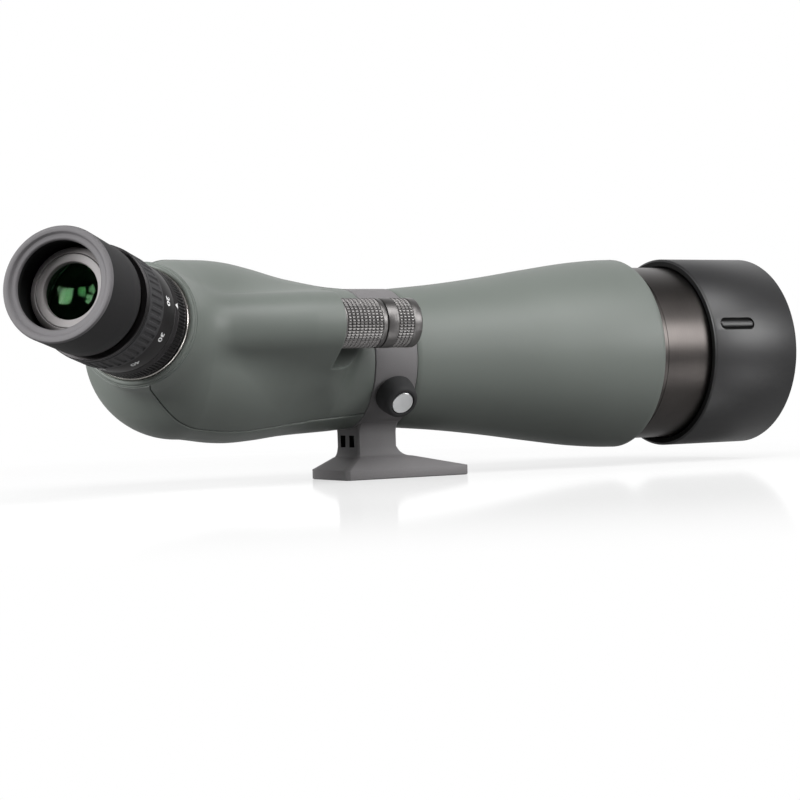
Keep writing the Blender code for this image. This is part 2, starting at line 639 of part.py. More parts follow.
def build_front(looks, optical):
    """Barrel, objective tube with its lenses, and the sliding sunshade."""
    mouth = BARREL_FRONT - BARREL_MOUTH_DEPTH
    stations = [BARREL_SHOULDER + place for place, _ in BARREL_SWELL]
    seal_front = BARREL_FRONT - SEAL_INSET
    seal_rear = seal_front - SEAL_WIDTH - 2 * CLEARANCE
    groove = BARREL_MOUTH_RADIUS + SEAL_HEIGHT
    waist_bore = SPIGOT_RADIUS - WAIST_WALL
    outline = [(waist_bore, SPIGOT_END), (SPIGOT_RADIUS, SPIGOT_END), (SPIGOT_RADIUS, BARREL_SHOULDER)]
    outline += [(barrel_radius(x), x) for x in stations]
    outline += [(BARREL_MOUTH_RADIUS, BARREL_FRONT), (BARREL_MOUTH_RADIUS, seal_front), (groove, seal_front),
                (groove, seal_rear), (BARREL_MOUTH_RADIUS, seal_rear), (BARREL_MOUTH_RADIUS, mouth)]
    inner = [(barrel_radius(x) - BARREL_WALL, x) for x in stations if BARREL_SHOULDER < x < mouth - BARREL_WALL]
    inner = [(waist_bore, SPIGOT_END)] + inner + [(BARREL_MOUTH_RADIUS - TUBE_LEDGE, mouth)]
    outline += reversed(inner[1:])
    barrel = turned("front_barrel", outline, optical, looks["green"], LARGE_STEPS)
    tube("barrel_seal", BARREL_MOUTH_RADIUS, groove - CLEARANCE, seal_rear + CLEARANCE,
         seal_front - CLEARANCE, optical, looks["rubber"], LARGE_STEPS)
    baffle_rear = BAFFLE_PLACE - BAFFLE_THICKNESS / 2
    inner_radii, inner_places = zip(*inner)
    wall_there = float(np.interp(baffle_rear, inner_places, inner_radii))
    tube("light_baffle", BAFFLE_APERTURE, wall_there - CLEARANCE, baffle_rear,
         baffle_rear + BAFFLE_THICKNESS, optical, looks["inner_black"], LARGE_STEPS)

    tube("objective_tube", TUBE_RADIUS - TUBE_WALL, TUBE_RADIUS, TUBE_REAR, TUBE_FRONT, optical,
         looks["tube_black"], LARGE_STEPS)
    seat = CELL_RADIUS - CELL_WALL
    turned("objective_cell", ((seat - CELL_LIP, CELL_REAR), (CELL_RADIUS, CELL_REAR), (CELL_RADIUS, CELL_FRONT),
                              (seat, CELL_FRONT), (seat, CELL_REAR + CELL_LIP),
                              (seat - CELL_LIP, CELL_REAR + CELL_LIP)), optical, looks["inner_black"],
           LARGE_STEPS)
    back_dome = LENS_RADIUS ** 2 / (2 * LENS_BACK_CURVE)
    front_dome = LENS_RADIUS ** 2 / (2 * LENS_CURVE)
    flint_low = CELL_REAR + CELL_LIP + CLEARANCE
    flint_high = flint_low + FLINT_CENTRE + back_dome
    turned("objective_rear_lens", dome_outline(LENS_RADIUS, flint_low, flint_high, 0.0, -back_dome), optical,
           looks["glass"], LARGE_STEPS, False)
    crown_low = flint_high + CLEARANCE
    crown_high = crown_low + LENS_EDGE
    turned("objective_front_lens", dome_outline(LENS_RADIUS, crown_low, crown_high, back_dome, front_dome),
           optical, looks["glass"], LARGE_STEPS, False)
    ring_bore = LENS_RADIUS - RETAINER_WIDTH
    rise = front_dome * (1 - (ring_bore / LENS_RADIUS) ** 2)
    ring_low = crown_high + rise + CLEARANCE
    tube("objective_retaining_ring", ring_bore, LENS_RADIUS, ring_low, ring_low + RETAINER_LENGTH, optical,
         looks["tube_black"], LARGE_STEPS)

    bore = SUNSHADE_BORE
    lip = bore - SUNSHADE_LIP + CLEARANCE
    front = SUNSHADE_REAR + SUNSHADE_LENGTH
    lip_end = SUNSHADE_REAR + SUNSHADE_LIP_LENGTH
    outline = ((lip, SUNSHADE_REAR), (SUNSHADE_RADIUS - SUNSHADE_CHAMFER, SUNSHADE_REAR),
               (SUNSHADE_RADIUS, SUNSHADE_REAR + SUNSHADE_CHAMFER), (SUNSHADE_RADIUS, front - SUNSHADE_CHAMFER),
               (SUNSHADE_RADIUS - SUNSHADE_CHAMFER, front), (bore, front), (bore, lip_end), (lip, lip_end))
    shade = turned("sunshade", outline, optical, looks["shade_black"], LARGE_STEPS)
    groove_width = (SIGHT_WIDTH - SIGHT_RIB_WIDTH) / 2
    middle = (SIGHT_RIB_WIDTH + groove_width) / 2
    for number, place in enumerate((-middle, middle)):
        start = SUNSHADE_REAR + SIGHT_START
        low = (-SUNSHADE_RADIUS - CUTTER_REACH, place - groove_width / 2, start)
        high = (-SUNSHADE_RADIUS + SIGHT_DEPTH, place + groove_width / 2, start + SIGHT_LENGTH)
        cut_box(shade, f"sight_groove_{number}", low, high, optical, looks["shade_black"])
    tube("sunshade_felt_ring", FELT_BORE, FELT_BORE + FELT_THICKNESS, lip_end + CLEARANCE,
         lip_end + CLEARANCE + FELT_LENGTH, optical, looks["felt"], LARGE_STEPS)
    return barrel


def build_housing(looks, scope, focus):
    """The two green shells behind the collar and the bush in the front wall of the bulge."""
    upper = housing_shell("upper_housing", -SEAM_ANGLE, SEAM_ANGLE, UPPER_COLUMNS, scope, looks["green"])
    housing_shell("lower_housing", SEAM_ANGLE, 2 * math.pi - SEAM_ANGLE, LOWER_COLUMNS, scope, looks["green"])
    bush_bore = COARSE_SHAFT_RADIUS + CLEARANCE
    bush_radius = bush_bore + FOCUS_BUSH_WALL
    cut_cylinder(upper, "focus_bush_hole", bush_radius + CLEARANCE, -BULGE_FRONT - 3 * HOUSING_WALL,
                 -BULGE_FRONT + HOUSING_WALL, focus, looks["green"])
    tube("focus_bush", bush_bore, bush_radius, -BULGE_FRONT - FOCUS_BUSH_LENGTH, -BULGE_FRONT, focus,
         looks["brass"], SMALL_STEPS)


def build_focus(looks, scope, optical, focus, barrel):
    """Two coaxial knobs and shafts, the carriage on its guide rods, and the focusing lens."""
    coarse_rear = -BULGE_FRONT + KNOB_GAP
    coarse_front = coarse_rear + COARSE_KNOB_LENGTH
    fine_rear = coarse_front + KNOB_GAP
    fine_front = fine_rear + FINE_KNOB_LENGTH
    coarse_bore = COARSE_SHAFT_RADIUS + CLEARANCE
    fine_bore = FINE_SHAFT_RADIUS + CLEARANCE
    shaft_front = coarse_front - CLEARANCE
    shaft_rear = -BULGE_FRONT - COARSE_SHAFT_REACH
    tube("coarse_focus_knob", coarse_bore, KNOB_RADIUS, coarse_rear, coarse_front, focus, looks["knob_metal"])
    tube("coarse_focus_shaft", fine_bore, COARSE_SHAFT_RADIUS, shaft_rear, shaft_front, focus, looks["steel"],
         SMALL_STEPS)
    socket_end = fine_rear + FINE_KNOB_LENGTH / 2
    turned("fine_focus_knob", ((0, socket_end), (fine_bore, socket_end), (fine_bore, fine_rear),
                               (KNOB_RADIUS, fine_rear), (KNOB_RADIUS, fine_front), (0, fine_front)),
           focus, looks["knob_metal"], MEDIUM_STEPS, False)
    rod("fine_focus_shaft", FINE_SHAFT_RADIUS, shaft_rear - FINE_SHAFT_REACH, socket_end - CLEARANCE, focus,
        looks["steel"])

    flange_rear = FLANGE_FRONT - FLANGE_THICKNESS
    flange = tube("chassis_flange", FLANGE_BORE, SPIGOT_RADIUS - CLEARANCE, flange_rear, FLANGE_FRONT, optical,
                  looks["inner_black"], LARGE_STEPS)
    screw_circle = SPIGOT_RADIUS - WAIST_WALL / 2
    for number in range(FLANGE_SCREW_COUNT):
        angle = 2 * math.pi * number / FLANGE_SCREW_COUNT
        place = Vector((0, screw_circle * math.sin(angle), screw_circle * math.cos(angle)))
        turn = Matrix.Rotation(math.pi / 2, 4, 'Y')
        spot = empty(f"flange_screw_frame_{number}", scope, Matrix.Translation(place) @ turn)
        hole = SCREW_SHANK_RADIUS + CLEARANCE
        tip = FLANGE_FRONT + SCREW_DEPTH
        for solid, low, high in ((flange, flange_rear - CUTTER_REACH, FLANGE_FRONT + CUTTER_REACH),
                                 (barrel, SPIGOT_END - CUTTER_REACH, tip + CLEARANCE)):
            cut_cylinder(solid, f"{solid.name}_screw_hole_{number}", hole, low, high, spot, looks["steel"],
                         TINY_STEPS)
        head = flange_rear - CLEARANCE
        turned(f"flange_screw_{number + 1}",
               ((0, head - SCREW_HEAD_HEIGHT), (SCREW_HEAD_RADIUS, head - SCREW_HEAD_HEIGHT),
                (SCREW_HEAD_RADIUS, head), (SCREW_SHANK_RADIUS, head), (SCREW_SHANK_RADIUS, tip), (0, tip)),
               spot, looks["steel"], TINY_STEPS, False)

    carriage_front = -CARRIAGE_PLACE + CARRIAGE_THICKNESS / 2
    carriage_rear = carriage_front - CARRIAGE_THICKNESS
    carriage = tube("focus_carriage", CARRIAGE_BORE, CARRIAGE_RADIUS, carriage_rear, carriage_front, optical,
                    looks["inner_black"])
    half = CARRIAGE_ARM_WIDTH / 2
    ring_middle = (CARRIAGE_BORE + CARRIAGE_RADIUS) / 2
    ear_end = ROD_SPREAD + ROD_RADIUS + ROD_EAR / 2
    nut_bore = COARSE_SHAFT_RADIUS + CLEARANCE
    nut_front = carriage_front - NUT_SETBACK
    nut_rear = carriage_rear - NUT_SETBACK
    bridge_top = BRIDGE_LEVEL + BRIDGE_THICKNESS
    members = (("carriage_left_ear", carriage_rear, carriage_front, ring_middle, ear_end, -ROD_EAR, ROD_EAR),
               ("carriage_right_ear", carriage_rear, carriage_front, -ear_end, -ring_middle, -ROD_EAR, ROD_EAR),
               ("carriage_arm", carriage_rear, carriage_front, -half, half, ring_middle, bridge_top),
               ("carriage_bridge", nut_rear, carriage_front, -half, half, BRIDGE_LEVEL, bridge_top),
               ("carriage_upright", nut_rear, nut_front, -half, half, BRIDGE_LEVEL,
                FOCUS_HEIGHT - nut_bore - NUT_WALL / 2))
    for order, (name, rear, front, right, left, low, high) in enumerate(members, start=1):
        inset = CARRIAGE_STEP * order
        join_box(carriage, name, (rear + inset, right + inset, low + inset),
                 (front - inset, left - inset, high - inset), scope, looks["inner_black"])
    nut = tube("carriage_nut", nut_bore, nut_bore + NUT_WALL, nut_rear, nut_front, focus, looks["inner_black"],
               SMALL_STEPS)
    combine(carriage, nut, 'UNION')
    for name, place in (("left", ROD_SPREAD), ("right", -ROD_SPREAD)):
        turn = Matrix.Translation((0, place, 0)) @ Matrix.Rotation(math.pi / 2, 4, 'Y')
        spot = empty(f"guide_rod_frame_{name}", scope, turn)
        cut_cylinder(carriage, f"rod_hole_{name}", ROD_RADIUS + CLEARANCE, carriage_rear - CUTTER_REACH,
                     carriage_front + CUTTER_REACH, spot, looks["steel"], TINY_STEPS)
        rod(f"guide_rod_{name}", ROD_RADIUS, BULKHEAD_FRONT + CLEARANCE, flange_rear - CLEARANCE, spot,
            looks["steel"], TINY_STEPS)

    cell_radius = CARRIAGE_BORE - CLEARANCE
    cell_bore = cell_radius - FOCUS_CELL_WALL
    cell_low = -CARRIAGE_PLACE - FOCUS_CELL_LENGTH / 2
    tube("focus_cell", cell_bore, cell_radius, cell_low, cell_low + FOCUS_CELL_LENGTH, optical, looks["steel"])
    lens_low = -CARRIAGE_PLACE - FOCUS_LENS_EDGE / 2
    turned("focusing_lens", dome_outline(cell_bore - CLEARANCE, lens_low, lens_low + FOCUS_LENS_EDGE,
                                         -FOCUS_LENS_HOLLOW, -FOCUS_LENS_HOLLOW),
           optical, looks["glass"], MEDIUM_STEPS, False)


def build_prism(looks, scope):
    """Bulkhead across the housing, the roof prism behind it, its cradle and its clamp."""
    wall = housing_reach(np.array((BULKHEAD_FRONT, 0.0, float(spine_height(BULKHEAD_FRONT)))),
                         np.array((0.0, 0.0, -1.0)), HOUSING_WALL)
    facet_loss = 1 - math.cos(math.pi / MEDIUM_STEPS)
    radius = float(wall) * (1 - facet_loss) - 3 * CLEARANCE
    turn = Matrix.Rotation(math.pi / 2, 4, 'Y')
    lift = Matrix.Translation((0, 0, float(spine_height(BULKHEAD_FRONT))))
    spine_frame = empty("bulkhead_frame", scope, lift @ turn)
    light_frame = empty("bulkhead_light_frame", scope, turn)
    bulkhead = rod("prism_bulkhead", radius, BULKHEAD_REAR, BULKHEAD_FRONT, spine_frame, looks["inner_black"],
                   MEDIUM_STEPS)
    cut_box(bulkhead, "bulkhead_notch", (BULKHEAD_REAR - CUTTER_REACH, -radius, BULKHEAD_TOP),
            (BULKHEAD_FRONT + CUTTER_REACH, radius, BULKHEAD_TOP + radius), scope, looks["inner_black"])
    cut_cylinder(bulkhead, "bulkhead_aperture", BULKHEAD_APERTURE, BULKHEAD_REAR - CUTTER_REACH,
                 BULKHEAD_FRONT + CUTTER_REACH, light_frame, looks["inner_black"], MEDIUM_STEPS)

    tilt = Vector((-math.sin(EYEPIECE_TILT), math.cos(EYEPIECE_TILT)))
    across = Vector((math.cos(EYEPIECE_TILT), math.sin(EYEPIECE_TILT)))
    exit_middle = Vector((BEND, 0)) + PRISM_EXIT * tilt
    exit_top = exit_middle + PRISM_HALF_HEIGHT * across
    exit_low = exit_middle - PRISM_HALF_HEIGHT * across
    entry = BULKHEAD_REAR - CLEARANCE
    entry_low = Vector((entry, -PRISM_HALF_HEIGHT))
    entry_top = Vector((entry, PRISM_HALF_HEIGHT))
    outline = [entry_low, exit_low, exit_top, entry_top]
    add("roof_prism", prism_mesh("roof_prism", outline, PRISM_HALF_WIDTH), scope, looks["glass"])

    def plate(name, start, end, out, thickness, look):
        run = (end - start).normalized()
        near = out * CLEARANCE
        far = out * (CLEARANCE + thickness)
        clear_start = start + run * max(far.x / -run.x, 0.0)
        corners = [clear_start + near, end + near, end + far, clear_start + far]
        add(name, prism_mesh(name, corners, PRISM_HALF_WIDTH), scope, look)

    low_run = (exit_low - entry_low).normalized()
    plate("prism_cradle", entry_low, exit_low, Vector((low_run.y, -low_run.x)) * -1, CRADLE_THICKNESS,
          looks["inner_black"])
    top_run = (exit_top - entry_top).normalized()
    plate("prism_clamp", entry_top, exit_top, Vector((top_run.y, -top_run.x)), CLAMP_THICKNESS, looks["steel"])


def lens(name, radius, middle, edge, dome, frame, look):
    outline = dome_outline(radius, middle - edge / 2, middle + edge / 2, dome, dome)
    return turned(name, outline, frame, look, MEDIUM_STEPS, False)


def zoom_group(side, middle, looks, eyepiece):
    """A lens in a cell that slides in the eyepiece barrel, with a follower reaching into the zoom sleeve."""
    cell_radius = EYEPIECE_BORE - CLEARANCE
    bore = cell_radius - ZOOM_CELL_WALL
    cell = tube(f"zoom_cell_{side}", bore, cell_radius, middle - ZOOM_CELL_LENGTH / 2,
                middle + ZOOM_CELL_LENGTH / 2, eyepiece, looks["inner_black"])
    aim = Matrix.Translation((0, 0, middle)) @ Matrix.Rotation(math.pi / 2, 4, 'Y')
    spot = empty(f"follower_frame_{side}", eyepiece, aim)
    follower = rod(f"follower_{side}", FOLLOWER_RADIUS, cell_radius - ZOOM_CELL_WALL / 2, NOSE_RADIUS, spot,
                   looks["steel"], TINY_STEPS)
    combine(cell, follower, 'UNION')
    lens(f"zoom_lens_{side}", bore - CLEARANCE, middle, ZOOM_LENS_EDGE, ZOOM_LENS_DOME, eyepiece,
         looks["glass"])


def build_eyepiece(looks, eyepiece):
    """Socket ring, eyepiece barrel with its lenses, lock ring, zoom ring, eyecup and its helix ring."""
    socket_top = NECK_TOP + SOCKET_RISE
    tube("eyepiece_socket", SOCKET_RADIUS - SOCKET_WALL, SOCKET_RADIUS, socket_top - SOCKET_LENGTH, socket_top,
         eyepiece, looks["bright"], MEDIUM_STEPS)
    barrel = tube("eyepiece_barrel", EYEPIECE_BORE, NOSE_RADIUS, EYEPIECE_NOSE, EYEPIECE_END, eyepiece,
                  looks["tube_black"])
    slot = FOLLOWER_RADIUS + CLEARANCE
    for side, start, end in (("front", ZOOM_FRONT_PLACE, ZOOM_FRONT_PLACE + ZOOM_FRONT_TRAVEL),
                             ("rear", ZOOM_REAR_PLACE - ZOOM_REAR_TRAVEL, ZOOM_REAR_PLACE)):
        cut_box(barrel, f"follower_slot_{side}", (EYEPIECE_BORE / 2, -slot, start - slot),
                (NOSE_RADIUS + CUTTER_REACH, slot, end + slot), eyepiece, looks["tube_black"])
    tube("eyepiece_lock_ring", RING_BORE, RING_BORE + LOCK_RING_WALL, LOCK_RING_START,
         LOCK_RING_START + LOCK_RING_LENGTH, eyepiece, looks["ring_black"])

    sleeve = RING_BORE + ZOOM_SLEEVE_WALL
    seat = sleeve - GRIP_SEAT_DEPTH
    flange = sleeve + ZOOM_FLANGE_RISE
    flange_start = ZOOM_END - ZOOM_FLANGE_LENGTH
    grip_end = flange_start - CLEARANCE
    grip_start = grip_end - GRIP_LENGTH
    seat_start = grip_start - CLEARANCE
    turned("zoom_sleeve", ((RING_BORE, ZOOM_START), (sleeve, ZOOM_START), (sleeve, seat_start),
                           (seat, seat_start), (seat, flange_start), (flange, flange_start),
                           (flange, ZOOM_END), (RING_BORE, ZOOM_END)), eyepiece, looks["ring_black"])
    tube("zoom_grip", seat + CLEARANCE, seat + CLEARANCE + GRIP_WALL, grip_start, grip_end, eyepiece,
         looks["rubber"])
    zoom_group("front", ZOOM_FRONT_PLACE, looks, eyepiece)
    zoom_group("rear", ZOOM_REAR_PLACE, looks, eyepiece)
    lens("field_lens", EYEPIECE_BORE - CLEARANCE, FIELD_LENS_PLACE, FIELD_LENS_EDGE, FIELD_LENS_DOME, eyepiece,
         looks["glass"])

    head_low = EYEPIECE_END - HEAD_FLANGE
    head_high = EYEPIECE_END + HEAD_LENGTH
    flange_radius = EYEPIECE_BORE - CLEARANCE
    turned("eyepiece_head", ((HEAD_BORE, head_low), (flange_radius, head_low), (flange_radius, EYEPIECE_END),
                             (HEAD_RADIUS, EYEPIECE_END), (HEAD_RADIUS, head_high - HEAD_BEVEL),
                             (HEAD_BORE, head_high)), eyepiece, looks["tube_black"])
    retainer_low = head_high - EYE_RETAINER_LENGTH
    lens_radius = HEAD_BORE - CLEARANCE
    aperture_rise = EYE_LENS_DOME * (1 - (EYE_RETAINER_APERTURE / lens_radius) ** 2)
    lens_middle = retainer_low - CLEARANCE - aperture_rise - EYE_LENS_EDGE / 2
    lens("eye_lens", lens_radius, lens_middle, EYE_LENS_EDGE, EYE_LENS_DOME, eyepiece, looks["eye_glass"])
    bevelled = EYE_RETAINER_APERTURE + EYE_RETAINER_BEVEL
    turned("eye_lens_retainer", ((EYE_RETAINER_APERTURE, retainer_low), (lens_radius, retainer_low),
                                 (lens_radius, head_high), (bevelled, head_high)),
           eyepiece, looks["ring_black"])

    helix_low = EYEPIECE_END + CLEARANCE
    helix_bore = HEAD_RADIUS + CLEARANCE
    tube("eyecup_helix_ring", helix_bore, helix_bore + HELIX_WALL, helix_low, helix_low + HELIX_LENGTH,
         eyepiece, looks["nylon"])
    cup_low = ZOOM_END + EYECUP_BASE_GAP
    cup_high = cup_low + EYECUP_LENGTH
    cup_bore = helix_bore + HELIX_WALL + CLEARANCE
    lip_low = cup_high - EYECUP_LIP
    groove = cup_high - EYECUP_GROOVE_DEPTH
    turned("eyecup", ((cup_bore, cup_low), (EYECUP_BASE_RADIUS, cup_low),
                      (EYECUP_RADIUS, cup_high - EYECUP_EDGE), (EYECUP_RADIUS - EYECUP_EDGE, cup_high),
                      (EYECUP_GROOVE_RADIUS, cup_high),
                      (EYECUP_GROOVE_RADIUS - EYECUP_GROOVE_SLOPE, groove), (EYECUP_APERTURE, groove),
                      (EYECUP_APERTURE, lip_low), (cup_bore, lip_low)), eyepiece, looks["eyecup"])


def main():
    clear_scene()
    looks = {
        "green": material("green_coat", (0.105, 0.125, 0.108), 0.42),
        "stand": material("stand_coat", (0.085, 0.082, 0.086), 0.55, 0.2),
        "knob_metal": material("knob_metal", (0.10, 0.095, 0.095), 0.38, 0.6),
        "knob_rubber": material("knob_rubber", (0.030, 0.030, 0.031), 0.70),
        "disc": material("silver_disc", (0.72, 0.73, 0.73), 0.30, 0.4),
        "tube_black": material("tube_black", (0.030, 0.028, 0.028), 0.38, 0.3),
        "shade_black": material("shade_black", (0.040, 0.038, 0.040), 0.48),
        "ring_black": material("ring_black", (0.025, 0.024, 0.025), 0.45),
        "inner_black": material("inner_black", (0.012, 0.012, 0.012), 0.85),
        "rubber": material("rubber", (0.028, 0.027, 0.029), 0.75),
        "eyecup": material("eyecup_rubber", (0.050, 0.048, 0.051), 0.62),
        "bright": material("bright_ring", (0.62, 0.60, 0.58), 0.22, 1.0),
        "steel": material("steel", (0.55, 0.55, 0.56), 0.30, 1.0),
        "brass": material("brass", (0.60, 0.46, 0.22), 0.30, 1.0),
        "nylon": material("nylon", (0.10, 0.10, 0.10), 0.60),
        "felt": material("felt", (0.015, 0.015, 0.016), 0.95),
        "glass": material("lens_glass", (0.30, 0.36, 0.38), 0.05),
        "eye_glass": material("eye_lens_glass", (0.02, 0.06, 0.03), 0.05),
    }
    quarter_turn = Matrix.Rotation(math.pi / 2, 4, 'Y')
    roll = Matrix.Translation((0, 0, AXIS_HEIGHT)) @ Matrix.Rotation(REST_ROLL, 4, 'X')
    scope = empty("scope_frame", None, roll)
    optical = empty("optical_frame", scope, quarter_turn)
    focus = empty("focus_frame", scope, Matrix.Translation((0, 0, FOCUS_HEIGHT)) @ quarter_turn)
    lean = Matrix.Rotation(-EYEPIECE_TILT, 4, 'Y')
    eyepiece = empty("eyepiece_frame", scope, Matrix.Translation((BEND, 0, 0)) @ lean)
    outward = Matrix.Rotation(math.pi / 2 + LOCK_ANGLE, 4, 'X')
    lock_frame = empty("lock_frame", None, Matrix.Translation((COLLAR_CENTRE, 0, AXIS_HEIGHT)) @ outward)

    build_stand(looks, lock_frame)
    barrel = build_front(looks, optical)
    build_housing(looks, scope, focus)
    build_focus(looks, scope, optical, focus, barrel)
    build_prism(looks, scope)
    build_eyepiece(looks, eyepiece)


main()
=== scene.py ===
"""The looks of an angled spotting scope on its tripod collar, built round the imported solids."""

import json
import math

import bmesh
import bpy
import numpy as np
from mathutils import Matrix, Vector


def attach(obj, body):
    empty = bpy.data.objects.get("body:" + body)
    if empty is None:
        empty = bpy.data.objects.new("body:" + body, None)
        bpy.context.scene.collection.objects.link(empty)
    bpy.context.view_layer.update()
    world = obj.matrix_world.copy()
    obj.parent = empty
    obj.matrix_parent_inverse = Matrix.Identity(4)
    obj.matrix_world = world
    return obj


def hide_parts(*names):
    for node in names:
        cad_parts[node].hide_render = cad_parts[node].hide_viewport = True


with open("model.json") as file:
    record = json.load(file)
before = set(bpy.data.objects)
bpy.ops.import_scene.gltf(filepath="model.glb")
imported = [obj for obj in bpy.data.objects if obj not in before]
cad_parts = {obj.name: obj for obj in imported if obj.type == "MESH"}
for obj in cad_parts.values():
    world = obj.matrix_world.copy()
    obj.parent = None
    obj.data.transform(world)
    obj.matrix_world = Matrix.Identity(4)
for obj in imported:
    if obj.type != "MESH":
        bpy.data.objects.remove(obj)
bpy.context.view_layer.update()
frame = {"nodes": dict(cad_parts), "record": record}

# Camera
# A long lens stands low behind the eyepiece side and is rolled a little,
# as a fit to the outline of the scope in the photograph gave it.
camera_place = Vector((-0.46845, -0.8515, 0.0433))
camera_yaw = math.radians(29.17)
camera_pitch = math.radians(0.319)
camera_roll = math.radians(-1.755)
ahead = Vector((math.sin(camera_yaw) * math.cos(camera_pitch), math.cos(camera_yaw) * math.cos(camera_pitch),
                -math.sin(camera_pitch)))
level_right = Vector((math.cos(camera_yaw), -math.sin(camera_yaw), 0))
level_up = level_right.cross(ahead)
camera_right = level_right * math.cos(camera_roll) + level_up * math.sin(camera_roll)
camera_up = level_up * math.cos(camera_roll) - level_right * math.sin(camera_roll)
lens = bpy.data.cameras.new("camera")
lens.lens = 88.1055
lens.sensor_width = 36
lens.sensor_fit = 'HORIZONTAL'
lens.clip_start = 0.01
camera = bpy.data.objects.new("camera", lens)
bpy.context.scene.collection.objects.link(camera)
turned_camera = Matrix((camera_right, camera_up, -ahead)).transposed().to_4x4()
camera.matrix_world = Matrix.Translation(camera_place) @ turned_camera
bpy.context.scene.camera = camera
bpy.context.scene.view_settings.view_transform = 'Standard'


# Foot, stem and collar
# One aluminium die casting with a dark textured coat. The collar is bored to turn on the barrel's waist,
# the rear of the stem has two deep windows, and the underside is milled flat for a tripod plate.
# The floors and walls of the windows are painted near black, as painted shade in the deep recesses.
class Value:
    """A socket of a finish, so that what varies over a surface reads as a plain expression."""

    def __init__(self, tree, socket):
        self.tree = tree
        self.socket = socket

    def node(self, kind, settings, inputs, output=0):
        made = self.tree.nodes.new("ShaderNode" + kind)
        for name, setting in settings.items():
            setattr(made, name, setting)
        for name, entry in inputs.items():
            if isinstance(entry, Value):
                self.tree.links.new(entry.socket, made.inputs[name])
            else:
                made.inputs[name].default_value = entry
        return Value(self.tree, made.outputs[output])

    def __add__(self, other):
        return self.node("Math", {"operation": 'ADD'}, {0: self, 1: other})

    def __radd__(self, other):
        return self.node("Math", {"operation": 'ADD'}, {0: other, 1: self})

    def __sub__(self, other):
        return self.node("Math", {"operation": 'SUBTRACT'}, {0: self, 1: other})

    def __rsub__(self, other):
        return self.node("Math", {"operation": 'SUBTRACT'}, {0: other, 1: self})

    def __mul__(self, other):
        return self.node("Math", {"operation": 'MULTIPLY'}, {0: self, 1: other})

    def __rmul__(self, other):
        return self.node("Math", {"operation": 'MULTIPLY'}, {0: other, 1: self})

    def between(self, low, high):
        """Rise smoothly from 0 to 1 while the value goes from low to high."""
        return self.node("MapRange", {"interpolation_type": 'SMOOTHSTEP'},
                         {"Value": self, "From Min": low, "From Max": high})

    def blend(self, first, second):
        """Mix two colours by this value."""
        return self.node("Mix", {"data_type": 'RGBA'}, {0: self, 6: first, 7: second}, output=2)


def new_finish(name, **sockets):
    """A material, its shader, and the place on the piece as a value."""
    made = bpy.data.materials.new(name)
    made.use_nodes = True
    shader = made.node_tree.nodes["Principled BSDF"]
    for socket, entry in sockets.items():
        shader.inputs[socket.replace("_", " ").title().replace("Ior", "IOR")].default_value = entry
    place = Value(made.node_tree, made.node_tree.nodes.new("ShaderNodeTexCoord").outputs["Object"])
    return made, shader, place


def feed(shader, **sockets):
    for socket, value in sockets.items():
        value.tree.links.new(value.socket, shader.inputs[socket.replace("_", " ").title()])


def tinted(colour, share):
    return (*(part * share for part in colour), 1.0)


def grained_coat(name, colour, roughness, grain, depth, drift=0.07, **sockets):
    """A coat of one colour that drifts a little, with a fine grain that scatters its gloss."""
    made, shader, place = new_finish(name, **sockets)
    cloud = place.node("TexNoise", {}, {"Vector": place, "Scale": 22.0, "Detail": 3.0})
    fine = place.node("TexNoise", {}, {"Vector": place, "Scale": 1 / grain, "Detail": 2.0})
    speckle = cloud * 0.6 + fine * 0.4
    tone = speckle.between(0.3, 0.7).blend(tinted(colour, 1 - drift), tinted(colour, 1 + drift))
    bump = place.node("Bump", {}, {"Strength": 1.0, "Distance": depth, "Height": fine})
    feed(shader, base_color=tone, roughness=roughness + (fine - 0.5) * 0.16, normal=bump)
    return made


def turned(outline, frame_matrix, steps=128, closed=True, onto=None):
    """Turn an outline of (radius, height) points on a lathe whose axis is the frame's z."""
    bm = bmesh.new() if onto is None else onto
    corners = [bm.verts.new(frame_matrix @ Vector((radius, 0, height))) for radius, height in outline]
    pairs = list(zip(corners, corners[1:]))
    if closed:
        pairs.append((corners[-1], corners[0]))
    edges = [bm.edges.new(pair) for pair in pairs]
    axis = frame_matrix.to_3x3() @ Vector((0, 0, 1))
    bmesh.ops.spin(bm, geom=corners + edges, cent=frame_matrix.translation, axis=axis, angle=2 * math.pi,
                   steps=steps, use_merge=True)
    bmesh.ops.remove_doubles(bm, verts=bm.verts[:], dist=1e-7)
    bmesh.ops.recalc_face_normals(bm, faces=bm.faces[:])
    return bm


def soften(bm, width, segments=2, sharpest=math.radians(28)):
    """Round every hard edge of a closed piece."""
    bmesh.ops.recalc_face_normals(bm, faces=bm.faces[:])
    hard = [edge for edge in bm.edges if edge.is_manifold and edge.calc_face_angle() > sharpest]
    bmesh.ops.bevel(bm, geom=hard, offset=width, offset_type='OFFSET', segments=segments, profile=0.5,
                    affect='EDGES', material=-1, clamp_overlap=True)


def settle(bm, name, body, slot, looks, *nodes):
    """Make the finished piece an object that rides on a body and stands for its solids."""
    mesh = bpy.data.meshes.new(name)
    bm.to_mesh(mesh)
    bm.free()
    mesh.shade_smooth()
    mesh.set_sharp_from_angle(angle=math.radians(38))
    for look in looks:
        mesh.materials.append(look)
    made = bpy.data.objects.new(name, mesh)
    bpy.context.scene.collection.objects.link(made)
    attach(made, body)
    if nodes:
        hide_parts(*nodes)
    return made


